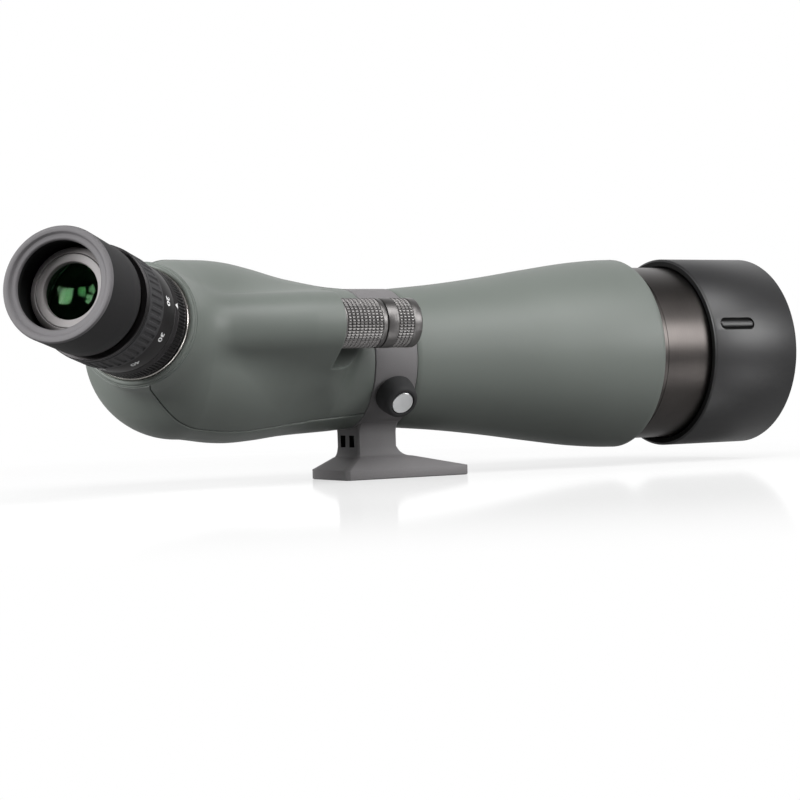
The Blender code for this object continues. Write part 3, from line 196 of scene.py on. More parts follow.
def carve(bm, cutter):
    """Cut one closed shape out of another with an exact Boolean, and keep only the result."""
    objects = []
    for part in (bm, cutter):
        bmesh.ops.recalc_face_normals(part, faces=part.faces[:])
        mesh = bpy.data.meshes.new("carving")
        part.to_mesh(mesh)
        part.free()
        item = bpy.data.objects.new("carving", mesh)
        bpy.context.scene.collection.objects.link(item)
        objects.append(item)
    work, tool = objects
    step = work.modifiers.new("cut", 'BOOLEAN')
    step.operation = 'DIFFERENCE'
    step.solver = 'EXACT'
    step.object = tool
    graph = bpy.context.evaluated_depsgraph_get()
    result = bmesh.new()
    result.from_mesh(work.evaluated_get(graph).to_mesh())
    for item in objects:
        spare = item.data
        bpy.data.objects.remove(item, do_unlink=True)
        bpy.data.meshes.remove(spare)
    return result


axis_height = 0.0588
collar_rear = -0.0247
collar_front = -0.0017
collar_bore = 0.0317
collar_radius = 0.0344
collar_edge = 0.0004
stem_rear = -0.0234
stem_front = -0.0020
stem_side = 0.01125
stem_corner = 0.0008
plate_length = 0.0685
plate_width = 0.0390
plate_edge = 0.0048
plate_corner = 0.0019
skirt_height = 0.0105
skirt_rise = 0.0065
skirt_flare = 0.0020
skirt_toe = 0.0085
skirt_steps = 10
saddle_fillet = 0.0064
saddle_steps = 7
saddle_tuck = 0.0006
casting_edge = 0.00035
window_inner = 0.0021
window_outer = 0.0071
window_low = 0.0155
window_high = 0.0213
window_depth = 0.0060
window_play = 0.0003
strip_share = 0.77
bush_wall = 0.0019
bush_depth = 0.0065
cut_clear = 0.0010
bushes = (("quarter_inch_bush", 0.003175, 0.0120, 0.00127),
          ("three_eighths_bush", 0.0047625, -0.0135, 0.0015875))
stand_coat = grained_coat("stand_coat", (0.165, 0.159, 0.162), 0.58, 0.00042, 0.000045,
                          specular_ior_level=0.35)
# A near-black finish painted into the stem's windows, standing in for the shade inside them.
window_painted_shade = grained_coat("window_painted_shade", (0.004, 0.004, 0.004), 0.9, 0.0006, 0.00002,
                            specular_ior_level=0.1)
upright = Matrix.Translation((0, 0, axis_height))
quarter_turn = Matrix.Rotation(math.pi / 2, 4, 'Y')
side_shares = [edge / (stem_side - stem_corner) for edge in (window_inner, window_outer)]
side_shares += [strip_share, 1.0]
end_shares = [-share for share in reversed(side_shares)] + [0.0] + side_shares


def saddle(y):
    """Height of the middle of the collar's wall over a place across the stem."""
    middle = (collar_bore + collar_radius) / 2
    return axis_height - math.sqrt(middle ** 2 - y ** 2)


def casting_level(bm, height, rear, front, side, corner):
    """A closed line round the casting at one height, a rectangle with cut corners."""
    reach = side - corner
    line = [(front, reach * share) for share in end_shares]
    line += [(front - corner, side), (rear + corner, side)]
    line += [(rear, -reach * share) for share in end_shares]
    line += [(rear + corner, -side), (front - corner, -side)]
    corners = [bm.verts.new((x, y, min(height, saddle(y)))) for x, y in line]
    return [bm.edges.new(pair) for pair in zip(corners, corners[1:] + corners[:1])]


casting = bmesh.new()
half = plate_length / 2
bottom_break = 0.0004
levels = [(0.0, -half + bottom_break, half - bottom_break, plate_width / 2 - bottom_break, plate_corner),
          (bottom_break, -half, half, plate_width / 2, plate_corner),
          (plate_edge, -half, half, plate_width / 2, plate_corner)]
for step in range(skirt_steps + 1):
    turn = math.pi / 2 * step / skirt_steps
    out = 1 - math.sin(turn)
    corner = stem_corner + (plate_corner - stem_corner) * out
    levels.append((skirt_height + skirt_rise * (1 - math.cos(turn)), stem_rear - skirt_flare * out,
                   stem_front + skirt_toe * out, stem_side + skirt_flare * out, corner))
levels = [level for level in levels if level[0] < window_low]
fillet_side = stem_side + saddle_fillet
fillet_drop = math.sqrt((collar_radius + saddle_fillet) ** 2 - fillet_side ** 2)
fillet_end = math.asin(fillet_drop / (collar_radius + saddle_fillet))
levels += [(height, stem_rear, stem_front, stem_side, stem_corner) for height in (window_low, window_high)]
for step in range(saddle_steps + 1):
    turn = fillet_end * step / saddle_steps
    levels.append((axis_height - fillet_drop + saddle_fillet * math.sin(turn), stem_rear, stem_front,
                   fillet_side - saddle_fillet * math.cos(turn), stem_corner))
top_side = fillet_side - saddle_fillet * math.cos(fillet_end) - saddle_tuck
levels.append((axis_height, stem_rear, stem_front, top_side, stem_corner))
lines = [casting_level(casting, *level) for level in levels]
for low, high in zip(lines, lines[1:]):
    bmesh.ops.bridge_loops(casting, edges=low + high)
for line in (lines[0], lines[-1]):
    bmesh.ops.contextual_create(casting, geom=line)
bmesh.ops.remove_doubles(casting, verts=casting.verts[:], dist=1e-6)
bmesh.ops.dissolve_degenerate(casting, edges=casting.edges[:], dist=1e-6)
bmesh.ops.recalc_face_normals(casting, faces=casting.faces[:])
for side in (-1, 1):
    panes = []
    for face in casting.faces:
        middle = face.calc_center_median()
        in_pane = window_inner < middle.y * side < window_outer and window_low < middle.z < window_high
        if in_pane and abs(middle.x - stem_rear) < 0.0002:
            panes.append(face)
    pushed = bmesh.ops.extrude_face_region(casting, geom=panes)["geom"]
    floor_corners = [item for item in pushed if isinstance(item, bmesh.types.BMVert)]
    bmesh.ops.translate(casting, verts=floor_corners, vec=(window_depth, 0, 0))
    bmesh.ops.delete(casting, geom=panes, context='FACES_ONLY')
soften(casting, casting_edge)
for _, bore, x, _ in bushes:
    rim = bore + bush_wall
    hole = turned([(0.0, -cut_clear), (rim, -cut_clear), (rim, bush_depth), (0.0, bush_depth)],
                  Matrix.Translation((x, 0, 0)), 64, False)
    casting = carve(casting, hole)
# Painted shade: the faces deep inside the windows take the near-black second finish.
for face in casting.faces:
    middle = face.calc_center_median()
    deep = 0.0005 < middle.x - stem_rear < window_depth + 0.0005
    at_height = window_low - window_play < middle.z < window_high + window_play
    if deep and at_height and abs(middle.y) < window_outer + window_play:
        face.material_index = 1
turned([(collar_bore, collar_rear), (collar_radius - collar_edge, collar_rear),
        (collar_radius, collar_rear + collar_edge), (collar_radius, collar_front - collar_edge),
        (collar_radius - collar_edge, collar_front), (collar_bore, collar_front)],
       upright @ quarter_turn, 160, onto=casting)
settle(casting, "stand_casting", "stand", "stand_coat", [stand_coat, window_painted_shade], "tripod_foot")

# Tripod thread bushes
# Two brass bushes pressed into the foot, one for each common tripod screw,
# each tapped with a thread and flush with the underside.
thread_steps = 20
bush_break = 0.0004


def turned_metal(name, colour, roughness, frame_matrix, pitch, depth, **sockets):
    """Bare or stained metal from a lathe, with fine lines round the frame's axis."""
    made, shader, place = new_finish(name, metallic=1.0, **sockets)
    axis_turn = frame_matrix.to_euler()
    local = place.node("Mapping", {"vector_type": 'TEXTURE'},
                       {"Vector": place, "Location": frame_matrix.translation, "Rotation": axis_turn})
    height = local.node("SeparateXYZ", {}, {"Vector": local}, output=2)
    lines_round = local.node("TexNoise", {"noise_dimensions": '1D'},
                             {"W": height, "Scale": 1 / pitch, "Detail": 3.0})
    cloud = local.node("TexNoise", {}, {"Vector": place, "Scale": 60.0, "Detail": 3.0})
    streaks = (lines_round * 0.5 + cloud * 0.5).between(0.3, 0.7)
    tone = streaks.blend(tinted(colour, 0.86), tinted(colour, 1.1))
    bump = local.node("Bump", {}, {"Strength": 1.0, "Distance": depth, "Height": lines_round})
    feed(shader, base_color=tone, roughness=roughness + (lines_round - 0.5) * 0.2, normal=bump)
    return made


for name, bore, x, pitch in bushes:
    spot = Matrix.Translation((x, 0, 0))
    brass_look = turned_metal(name + "_brass", (0.60, 0.46, 0.22), 0.34, spot, 0.00012, 0.000004)
    rim = bore + bush_wall
    bush = turned([(bore + bush_break, 0.0), (rim, 0.0), (rim, bush_depth), (bore, bush_depth),
                   (bore, bush_break)], spot, 64)
    turns = math.floor((bush_depth - pitch) / pitch)
    ridge = [bush.verts.new(spot @ Vector((bore + out, 0, pitch * (0.6 + up))))
             for out, up in ((0.0002, -0.45), (-0.00055, 0.0), (0.0002, 0.45))]
    ridge_edges = [bush.edges.new((ridge[index], ridge[(index + 1) % 3])) for index in range(3)]
    bush.faces.new(ridge)
    wound = bmesh.ops.spin(bush, geom=ridge + ridge_edges, cent=spot.translation, axis=(0, 0, 1),
                           dvec=(0, 0, pitch / thread_steps), angle=2 * math.pi * turns,
                           steps=thread_steps * turns)["geom_last"]
    bmesh.ops.contextual_create(bush, geom=[item for item in wound if isinstance(item, bmesh.types.BMEdge)])
    bmesh.ops.recalc_face_normals(bush, faces=bush.faces[:])
    settle(bush, name + "_tapped", "stand", "brass", [brass_look], name)

# Lock knob
# A tapered knob of matte rubber moulded over the head of a steel screw that clamps the collar.
# A plain satin metal disc is let into its end, with a narrow black groove round it.
lock_angle = math.radians(30)
lock_frame = (Matrix.Translation(((collar_rear + collar_front) / 2, 0, axis_height))
              @ Matrix.Rotation(math.pi / 2 + lock_angle, 4, 'X'))
knob_low = 0.0347
knob_high = 0.0447
lock_rubber = grained_coat("lock_rubber", (0.030, 0.030, 0.031), 0.68, 0.00035, 0.00003,
                           specular_ior_level=0.25)
disc_silver = turned_metal("disc_silver", (0.46, 0.465, 0.47), 0.36, lock_frame, 0.00020, 0.000002)
lock_knob = turned([(0.0, 0.0410), (0.0028, 0.0410), (0.0028, knob_low), (0.0092, knob_low),
                    (0.0098, 0.0353), (0.0098, 0.0364), (0.0094, 0.0390), (0.0088, 0.0416),
                    (0.0083, 0.0434), (0.0078, 0.0442), (0.0071, 0.0446), (0.0062, knob_high),
                    (0.0059, 0.0446), (0.0058, 0.0435), (0.0, 0.0435)], lock_frame, 96, False)
settle(lock_knob, "lock_knob_moulded", "lock_knob", "knob_rubber", [lock_rubber], "lock_knob")
lock_disc = turned([(0.0, 0.0438), (0.0054, 0.0438), (0.0054, 0.0444), (0.0052, 0.0446), (0.0, 0.04466)],
                   lock_frame, 96, False)
settle(lock_disc, "lock_knob_plain_disc", "lock_knob", "silver_disc", [disc_silver], "lock_knob_disc")

# Front barrel
# A flared aluminium barrel under a green soft-touch coat. Its narrow spigot turns in the collar
# and carries the rear housing, and the inside is blackened against stray light.
rest_roll = math.radians(74.5)
scope_frame = upright @ Matrix.Rotation(rest_roll, 4, 'X')
optical_frame = scope_frame @ quarter_turn
spigot_end = -0.0330
spigot_radius = 0.0314
waist_bore = 0.0280
waist_radius = 0.0341
barrel_shoulder = -0.0014
barrel_front = 0.13485
barrel_mouth = 0.04565
barrel_wall = 0.0026
mouth_depth = 0.0260
barrel_points = ((0.0, 0.0001), (0.029, 0.0027), (0.0555, 0.0060), (0.0825, 0.0100), (0.110, 0.0137),
                 (0.129, 0.01515), (0.13625, 0.01535))
barrel_stations = 48
green = (0.138, 0.154, 0.140)


def smooth_through(points):
    """A smooth curve through (place, value) points, level with its neighbours at each point."""
    places = np.array([place for place, _ in points])
    values = np.array([value for _, value in points])
    slopes = np.gradient(values, places)

    def curve(place):
        place = np.clip(np.asarray(place, float), places[0], places[-1])
        index = np.clip(np.searchsorted(places, place, side='right') - 1, 0, len(places) - 2)
        span = places[index + 1] - places[index]
        share = (place - places[index]) / span
        rise = values[index + 1] - values[index]
        ease = share * share * (3 - 2 * share)
        start = slopes[index] * span * share * (1 - share) ** 2
        end = slopes[index + 1] * span * share * share * (share - 1)
        return values[index] + rise * ease + start + end

    return curve


def blacken_bore(bm, frame_matrix):
    """Give the faces that look in at the axis the second finish."""
    axis = (frame_matrix.to_3x3() @ Vector((0, 0, 1))).normalized()
    for face in bm.faces:
        away = face.calc_center_median() - frame_matrix.translation
        out = away - axis * away.dot(axis)
        if out.length > 0 and face.normal.dot(out.normalized()) < -0.4:
            face.material_index = 1


green_coat = grained_coat("green_coat", green, 0.46, 0.00030, 0.000016, drift=0.04, specular_ior_level=0.4)
inner_black = grained_coat("inner_black", (0.008, 0.008, 0.008), 0.9, 0.0005, 0.00004,
                           specular_ior_level=0.15)
barrel_curve = smooth_through(barrel_points)
places = np.linspace(0, barrel_front - barrel_shoulder, barrel_stations)
radii = waist_radius + barrel_curve(places)
edge_round = 0.0007
outer_line = [(float(radius), barrel_shoulder + float(place)) for place, radius in zip(places, radii)]
rear_radius = outer_line[0][0]
front_radius = outer_line[-1][0]
outer_line[0] = (rear_radius - 0.0003, barrel_shoulder)
outer_line.insert(1, (rear_radius, barrel_shoulder + 0.0004))
outer_line[-1:] = [(front_radius, barrel_front - edge_round),
                   (front_radius - 0.3 * edge_round, barrel_front - 0.3 * edge_round),
                   (front_radius - edge_round, barrel_front)]
mouth = barrel_front - mouth_depth
inner_line = [(radius - barrel_wall, x) for radius, x in outer_line
              if barrel_shoulder + 0.004 < x < mouth - 0.003]
spigot_line = [(waist_bore, spigot_end), (spigot_radius, spigot_end), (spigot_radius, barrel_shoulder)]
mouth_line = [(barrel_mouth, barrel_front), (barrel_mouth, mouth), (barrel_mouth - 0.0010, mouth)]
barrel = turned(spigot_line + outer_line + mouth_line + inner_line[::-1], optical_frame, 160)
blacken_bore(barrel, optical_frame)
settle(barrel, "front_barrel_coated", "scope", "green_barrel", [green_coat, inner_black], "front_barrel")

# Objective tube
# A black anodised aluminium tube, turned smooth, that slides into the mouth of the barrel
# and carries the lens cell. One fine line is turned into it beside the barrel's lip.
tube_rear = 0.10915
tube_front = 0.18695
tube_radius = 0.04535
tube_bore = 0.0432
line_place = barrel_front + 0.0046
tube_black = turned_metal("tube_black", (0.074, 0.067, 0.064), 0.35, optical_frame, 0.00035, 0.000003)
tube = turned([(tube_bore, tube_rear), (tube_radius, tube_rear), (tube_radius, line_place),
               (tube_radius - 0.0002, line_place + 0.0001), (tube_radius - 0.0002, line_place + 0.00035),
               (tube_radius, line_place + 0.00045), (tube_radius, tube_front - 0.0005),
               (tube_radius - 0.0005, tube_front), (tube_bore, tube_front)], optical_frame, 160)
blacken_bore(tube, optical_frame)
settle(tube, "objective_tube_turned", "scope", "tube_black", [tube_black, inner_black], "objective_tube")

# Objective lens
# Two coated glass elements in a blackened cell, held by a threaded ring with two spanner slots.
# The front face shows the faint colour of its anti-reflection coat.
cell_front = 0.18395
cell_rear = 0.15995
cell_radius = 0.0429
cell_seat = 0.0409
lens_radius = 0.0406
front_dome = 0.004848
back_dome = 0.003583
flint_low = 0.16265
crown_low = 0.171533
crown_edge = 0.0040
flint_edge = 0.0050
dome_steps = 14
ring_rear = 0.1763
ring_front = 0.1803
slot_width = math.radians(6)
slot_depth = 0.0012


def lens_line(radius, low, high, low_dome, high_dome):
    """Half a lens: from the axis along the lower face, over the edge, and back to the axis."""
    shares = [step / dome_steps for step in range(dome_steps + 1)]
    lower = [(radius * share, low - low_dome * (1 - share * share)) for share in shares]
    upper = [(radius * share, high + high_dome * (1 - share * share)) for share in reversed(shares)]
    return lower + upper


def coated_glass(name, colour, tint, transmission):
    """Polished glass whose reflections take the colour of its coat, with a trace of dust."""
    made, shader, place = new_finish(name, transmission_weight=transmission, specular_ior_level=0.6,
                                     specular_tint=(*tint, 1.0), ior=1.52)
    dust = place.node("TexNoise", {}, {"Vector": place, "Scale": 900.0, "Detail": 4.0})
    tone = dust.between(0.35, 0.75).blend(tinted(colour, 0.9), tinted(colour, 1.05))
    feed(shader, base_color=tone, roughness=0.015 + dust.between(0.62, 0.8) * 0.05)
    return made


objective_glass = coated_glass("objective_glass", (0.86, 0.92, 0.90), (0.35, 0.85, 0.55), 1.0)
crown = turned(lens_line(lens_radius, crown_low, crown_low + crown_edge, back_dome, front_dome),
               optical_frame, 128, False)
settle(crown, "objective_front_glass", "scope", "lens_glass", [objective_glass], "objective_front_lens")
flint_high = flint_low + flint_edge + back_dome
flint = turned(lens_line(lens_radius, flint_low, flint_high, 0.0, -back_dome), optical_frame, 128, False)
settle(flint, "objective_rear_glass", "scope", "lens_glass", [objective_glass], "objective_rear_lens")
cell_lip = 0.0024
grooves = []
for step in range(6):
    start = cell_front - 0.0006 - 0.0005 * step
    grooves += [(cell_seat + 0.0002, start), (cell_seat, start - 0.0003)]
cell_line = [(cell_seat - cell_lip, cell_rear), (cell_radius, cell_rear), (cell_radius, cell_front)]
cell_line += grooves + [(cell_seat, cell_rear + cell_lip), (cell_seat - cell_lip, cell_rear + cell_lip)]
cell = turned(cell_line, optical_frame, 128)
settle(cell, "objective_cell_blackened", "scope", "inner_black", [inner_black], "objective_cell")
ring_bore = 0.0386
ring_steps = 144
ring = turned([(ring_bore + 0.0010, ring_rear), (lens_radius, ring_rear), (lens_radius, ring_front),
               (ring_bore + 0.0011, ring_front), (ring_bore + 0.0009, ring_front - 0.0002),
               (ring_bore, ring_rear + 0.0012), (ring_bore, ring_rear)], optical_frame, ring_steps)
to_optical = optical_frame.inverted()
for corner in ring.verts:
    spot = to_optical @ corner.co
    slot_angle = abs(math.atan2(spot.y, spot.x))
    if spot.z > ring_front - 0.0001 and min(slot_angle, math.pi - slot_angle) < slot_width / 2:
        corner.co = optical_frame @ Vector((spot.x, spot.y, spot.z - slot_depth))
settle(ring, "objective_ring_turned", "scope", "tube_black", [tube_black], "objective_retaining_ring")

# Sunshade
# A moulded black plastic tube that slides on the objective tube against a felt ring. A stadium-shaped
# recess with a rounded rib down its middle is the peep sight, and the inside is matte.
# The rear face and the floor and walls of the recess take the near-black inner finish as painted shade.
shade_rear = 0.16685
shade_front = 0.22045
shade_radius = 0.04985
shade_bore = 0.0476
shade_lip = 0.0461
shade_lip_length = 0.0015
shade_edge = 0.0009
sight_start = shade_rear + 0.0046
sight_length = 0.0221
sight_width = 0.0065
sight_depth = 0.0012
sight_cut_height = 0.0060
rib_width = 0.0030
rib_margin = 0.0006
rib_root = 0.0006
rib_crown = ((0.0003, 0.00022), (0.0004, 0.00012), (0.0004, 0.00004))
shade_black = grained_coat("shade_black", (0.013, 0.0127, 0.0136), 0.42, 0.00038, 0.00002,
                           specular_ior_level=0.6)


def stadium(bm, length, width, matrix, steps=12):
    """A flat face with two half-round ends, as a slot cutter leaves it."""
    radius = width / 2
    line = []
    for end, first in ((length / 2 - radius, -math.pi / 2), (radius - length / 2, math.pi / 2)):
        for step in range(steps + 1):
            turn = first + math.pi * step / steps
            line.append(matrix @ Vector((end + radius * math.cos(turn), radius * math.sin(turn), 0)))
    return bm.faces.new([bm.verts.new(point) for point in line])


def raise_face(bm, face, vector):
    moved = bmesh.ops.extrude_face_region(bm, geom=[face])["geom"]
    corners = [item for item in moved if isinstance(item, bmesh.types.BMVert)]
    bmesh.ops.translate(bm, verts=corners, vec=vector)
    return [item for item in moved if isinstance(item, bmesh.types.BMFace)][0]


sight_frame = scope_frame @ Matrix.Translation((sight_start + sight_length / 2, 0, shade_radius))
sight_out = (scope_frame.to_3x3() @ Vector((0, 0, 1))).normalized()
shade = turned([(shade_lip, shade_rear + 0.0003), (shade_lip + 0.0003, shade_rear),
                (shade_radius - 1.3 * shade_edge, shade_rear),
                (shade_radius - 1.1 * shade_edge, shade_rear + 0.05 * shade_edge),
                (shade_radius - 0.2 * shade_edge, shade_rear + 0.5 * shade_edge),
                (shade_radius, shade_rear + 0.9 * shade_edge), (shade_radius, shade_front - shade_edge),
                (shade_radius - 0.3 * shade_edge, shade_front - 0.3 * shade_edge),
                (shade_radius - shade_edge, shade_front), (shade_bore + 0.0003, shade_front),
                (shade_bore, shade_front - 0.0003), (shade_bore, shade_rear + shade_lip_length),
                (shade_lip, shade_rear + shade_lip_length)], optical_frame, 192)
sight_cut = bmesh.new()
sight_floor = stadium(sight_cut, sight_length, sight_width,
                      sight_frame @ Matrix.Translation((0, 0, -sight_depth)))
raise_face(sight_cut, sight_floor, sight_out * sight_cut_height)
shade = carve(shade, sight_cut)
bmesh.ops.recalc_face_normals(shade, faces=shade.faces[:])
blacken_bore(shade, optical_frame)
to_scope = scope_frame.inverted()
# Painted shade: the rear face and the sight's recess get the near-black second finish, standing in for their
# shade.
for face in shade.faces:
    spot = to_scope @ face.calc_center_median()
    radius = math.hypot(spot.y, spot.z)
    painted_shade_in_recess = spot.z > 0 and abs(spot.y) < 0.6 * sight_width and radius < shade_radius - 0.0002
    if spot.x < shade_rear + 0.00002 or (painted_shade_in_recess and sight_start < spot.x < sight_start + sight_length):
        face.material_index = 1
rib = bmesh.new()
rib_face = stadium(rib, sight_length - 2 * rib_margin, rib_width,
                   sight_frame @ Matrix.Translation((0, 0, -sight_depth - rib_root)))
rib_top = raise_face(rib, rib_face, sight_out * (sight_depth + 0.0004))
for inset, rise in rib_crown:
    bmesh.ops.inset_region(rib, faces=[rib_top], thickness=inset, depth=rise)
bmesh.ops.recalc_face_normals(rib, faces=rib.faces[:])
rib_mesh = bpy.data.meshes.new("rib")
rib.to_mesh(rib_mesh)
rib.free()
shade.from_mesh(rib_mesh)
bpy.data.meshes.remove(rib_mesh)
settle(shade, "sunshade_moulded", "sunshade", "shade_black", [shade_black, inner_black], "sunshade")

# Felt ring
# A strip of black felt glued round the inside of the sunshade, next to its rear lip.
# It fills the gap to the objective tube, so that the shade slides with a light drag.
felt_bore = 0.04565
felt_radius = 0.0473
felt_rear = shade_rear + shade_lip_length + 0.0003
felt_length = 0.0055
felt_round = 0.0003
felt_black = grained_coat("felt_black", (0.012, 0.012, 0.013), 0.96, 0.00025, 0.00012, drift=0.3,
                          specular_ior_level=0.1)
felt_front = felt_rear + felt_length
felt = turned([(felt_bore + felt_round, felt_rear), (felt_radius, felt_rear), (felt_radius, felt_front),
               (felt_bore + felt_round, felt_front), (felt_bore, felt_rear + 0.75 * felt_length),
               (felt_bore, felt_rear + 0.25 * felt_length)], optical_frame, 128)
settle(felt, "sunshade_felt_strip", "sunshade", "felt", [felt_black], "sunshade_felt_ring")

# Rear housing
# Two moulded shells under the same green soft-touch coat, meeting in a fine seam along the sides.
# The upper one rises to the eyepiece's neck and to the bulge that holds the focus drive.
housing_front = -0.0250
housing_wall = 0.0024
spine_slope = 0.26
spine_ease = 0.008
ball = -0.12120
housing_points = ((0.0, 0.0), (0.0210, 0.0018), (0.0405, 0.0039), (0.0572, 0.0065), (0.0710, 0.0080),
                  (0.0820, 0.0080), (0.0900, 0.0074), (0.0940, 0.0071), (0.0962, 0.0070))
bend = -0.09445
tilt = math.radians(45)
neck_radius = 0.0280
neck_top = 0.0840
neck_foot = 0.0450
neck_blend = 0.0080
seam_angles = ((0.0, 67.0), (0.25, 71.0), (0.5, 75.0), (0.75, 79.0), (1.0, 86.0))
seam_gap = 0.0003
seam_round = 0.0005
seam_step = 0.00035
seam_fade = 0.0060
bulge_front = -0.0580
bulge_radius = 0.0148
bulge_base_height = 0.0330
bulge_base_radius = 0.0245
bulge_blend = 0.0040
bulge_blend_ahead = 0.0110
bulge_taper_start = -0.0730
bulge_taper_slope = 0.085
bulge_end = -0.1260
bulge_fade = -0.1050
bulge_fade_length = 0.0300
saddle_slope = 0.05
saddle_reach = 0.0128
saddle_sink = 0.0120
pocket_radius = 0.0205
pocket_round = 0.0012
focus_height = 0.0576
fan_start = -0.1180
housing_curve = smooth_through(housing_points)
seam_curve = smooth_through(seam_angles)


def spine_height(x):
    run = np.maximum(spigot_end - np.maximum(x, ball), 0)
    return spine_slope * run * run / (run + spine_ease)


def smooth_union(first, second, blend):
    overlap = np.maximum(blend - np.abs(first - second), 0) / blend
    return np.minimum(first, second) - overlap * overlap * blend / 4


def smooth_cut(first, second, blend):
    return -smooth_union(-first, -second, blend)


def hull_of_circles(y, z, low, low_radius, high, high_radius):
    """Distance to the outline that wraps two circles standing one over the other."""
    span = high - low
    lean = (low_radius - high_radius) / span
    straight = math.sqrt(1 - lean * lean)
    side = np.abs(y)
    above = z - low
    along = above * straight - side * lean
    on_low = np.hypot(side, above) - low_radius
    on_high = np.hypot(side, above - span) - high_radius
    on_flank = side * straight + above * lean - low_radius
    return np.where(along < 0, on_low, np.where(along > span * straight, on_high, on_flank))


def housing_distance(point):
    """Signed distance to the housing's outer surface, less than zero inside."""
    x, y, z = point[..., 0], point[..., 1], point[..., 2]
    radius = waist_radius + housing_curve(housing_front - x)
    across = np.hypot(y, z - spine_height(x))
    ovoid = np.where(x > ball, across - radius, np.hypot(across, x - ball) - radius)
    front = np.maximum(x - bulge_front, 0)
    saddle_drop = front * (saddle_slope + front / saddle_reach)
    sink = np.minimum(saddle_drop, saddle_sink)
    drop = bulge_taper_slope * np.maximum(bulge_taper_start - x, 0) + sink
    bulge = hull_of_circles(y, z + drop, bulge_base_height, bulge_base_radius, focus_height, bulge_radius)
    bulge = np.maximum(bulge + 0.5 * (saddle_drop - sink), bulge_end - x)
    along = -(x - bend) * math.sin(tilt) + z * math.cos(tilt)
    over = (x - bend) * math.cos(tilt) + z * math.sin(tilt)
    neck = np.maximum(np.hypot(y, over) - neck_radius, neck_foot - along)
    forward = np.clip((x - bulge_fade) / bulge_fade_length, 0, 1)
    blend = bulge_blend + forward * (bulge_blend_ahead - bulge_blend)
    body = smooth_union(smooth_union(ovoid, bulge, blend), neck, neck_blend)
    room = np.hypot(y, z - focus_height) - pocket_radius
    return smooth_cut(body, -smooth_cut(room, bulge_front - x, pocket_round), pocket_round)


def housing_rings():
    """Centres and upward directions of the rings that follow the housing from the waist to the neck."""
    lip = Vector((bend, 0, 0)) + neck_top * Vector((-math.sin(tilt), 0, math.cos(tilt)))
    pivot = lip.z + (fan_start - lip.x) / math.tan(tilt)
    reach_start = pivot - float(spine_height(fan_start))
    reach_end = (fan_start - lip.x) / math.sin(tilt)
    fine_steps = (0.00004, 0.0002, 0.0004, 0.0006, 0.0009, 0.0012, 0.0016, 0.0022)
    near_pocket = [bulge_front + step for step in (0.0030, *reversed(fine_steps))]
    near_pocket += [bulge_front - step for step in fine_steps]
    stations = [*np.linspace(housing_front, bulge_front + 0.0040, 34), *near_pocket,
                *np.linspace(bulge_front - 0.0030, fan_start, 52)]
    rings = [((float(x), 0.0, float(spine_height(x))), (0.0, 0.0, 1.0)) for x in stations]
    fan_steps = 46
    for step in range(1, fan_steps + 1):
        angle = tilt * step / fan_steps
        reach = reach_start + (reach_end - reach_start) * step / fan_steps
        rings.append(((fan_start - reach * math.sin(angle), 0.0, pivot - reach * math.cos(angle)),
                      (math.sin(angle), 0.0, math.cos(angle))))
    return rings


def housing_skin(bm, rings, angles, wall, seam_drop):
    """A grid laid on the surface, a wall's thickness inside it, and let in a little along its seams."""
    centres = np.array([centre for centre, _ in rings])[:, None, :]
    up = np.array([direction for _, direction in rings])[:, None, :]
    side = np.array((0.0, 1.0, 0.0))
    direction = up * np.cos(angles)[..., None] + side * np.sin(angles)[..., None]
    reach = np.zeros(direction.shape[:-1])
    for _ in range(140):
        reach = reach - 0.6 * (housing_distance(centres + reach[..., None] * direction) + wall)
    points = centres + (reach - seam_drop)[..., None] * direction
    rows, columns = reach.shape
    made = bmesh.ops.create_grid(bm, x_segments=columns - 1, y_segments=rows - 1, size=1)["verts"]
    for corner in made:
        column = round((corner.co.x + 1) / 2 * (columns - 1))
        row = round((corner.co.y + 1) / 2 * (rows - 1))
        corner.co = scope_frame @ Vector(points[row, column])


def housing_shell(name, upper, columns, node):
    """One of the two shells, between the seam on one side and the seam on the other."""
    margin = seam_gap / 2 / waist_radius
    rings = housing_rings()
    seam = np.radians(seam_curve(np.linspace(0, 1, len(rings))))[:, None]
    if upper:
        first, last = margin - seam, seam - margin
    else:
        first, last = seam + margin, 2 * math.pi - seam - margin
    roll_in = np.array((0.0, 0.0025, 0.0055, 0.0090, 0.0140))[None, :]
    middle = np.linspace(0, 1, columns)[None, :]
    angles = np.concatenate((first + roll_in, first + 0.022 + (last - first - 0.044) * middle,
                             last - roll_in[:, ::-1]), axis=1)
    edge = np.minimum(angles - first, last - angles) * waist_radius
    drop = seam_round * np.clip(1 - edge / seam_round, 0, 1) ** 2
    if not upper:
        drop = drop - seam_step * np.clip(1 - edge / seam_fade, 0, 1)
    bm = bmesh.new()
    housing_skin(bm, rings, angles, 0.0, drop)
    housing_skin(bm, rings, angles, housing_wall, 0 * drop)
    bmesh.ops.bridge_loops(bm, edges=[edge for edge in bm.edges if edge.is_boundary])
    bmesh.ops.recalc_face_normals(bm, faces=bm.faces[:])
    settle(bm, name, "scope", "green_housing", [green_coat], node)


housing_shell("upper_housing_coated", True, 190, "upper_housing")
housing_shell("lower_housing_coated", False, 130, "lower_housing")

# Focus knobs
# Two coaxial aluminium knobs, bead blasted and stained dark grey. Rows of small cut studs give grip,
# over all of the coarse knob and over the middle of the fine knob in front of it.
focus_frame = scope_frame @ Matrix.Translation((0, 0, focus_height)) @ quarter_turn
knob_radius = 0.0116
knob_base = 0.01110
stud_count = 50
stud_margin = 0.00050
stud_height = 0.00045
coarse_rear = -0.0575
coarse_front = -0.0353
fine_rear = -0.0348
fine_front = -0.0168
knob_grey = turned_metal("knob_grey", (0.155, 0.149, 0.147), 0.40, focus_frame, 0.0002, 0.000002)
stud_grey = turned_metal("stud_grey", (0.27, 0.26, 0.258), 0.40, focus_frame, 0.0002, 0.000002)


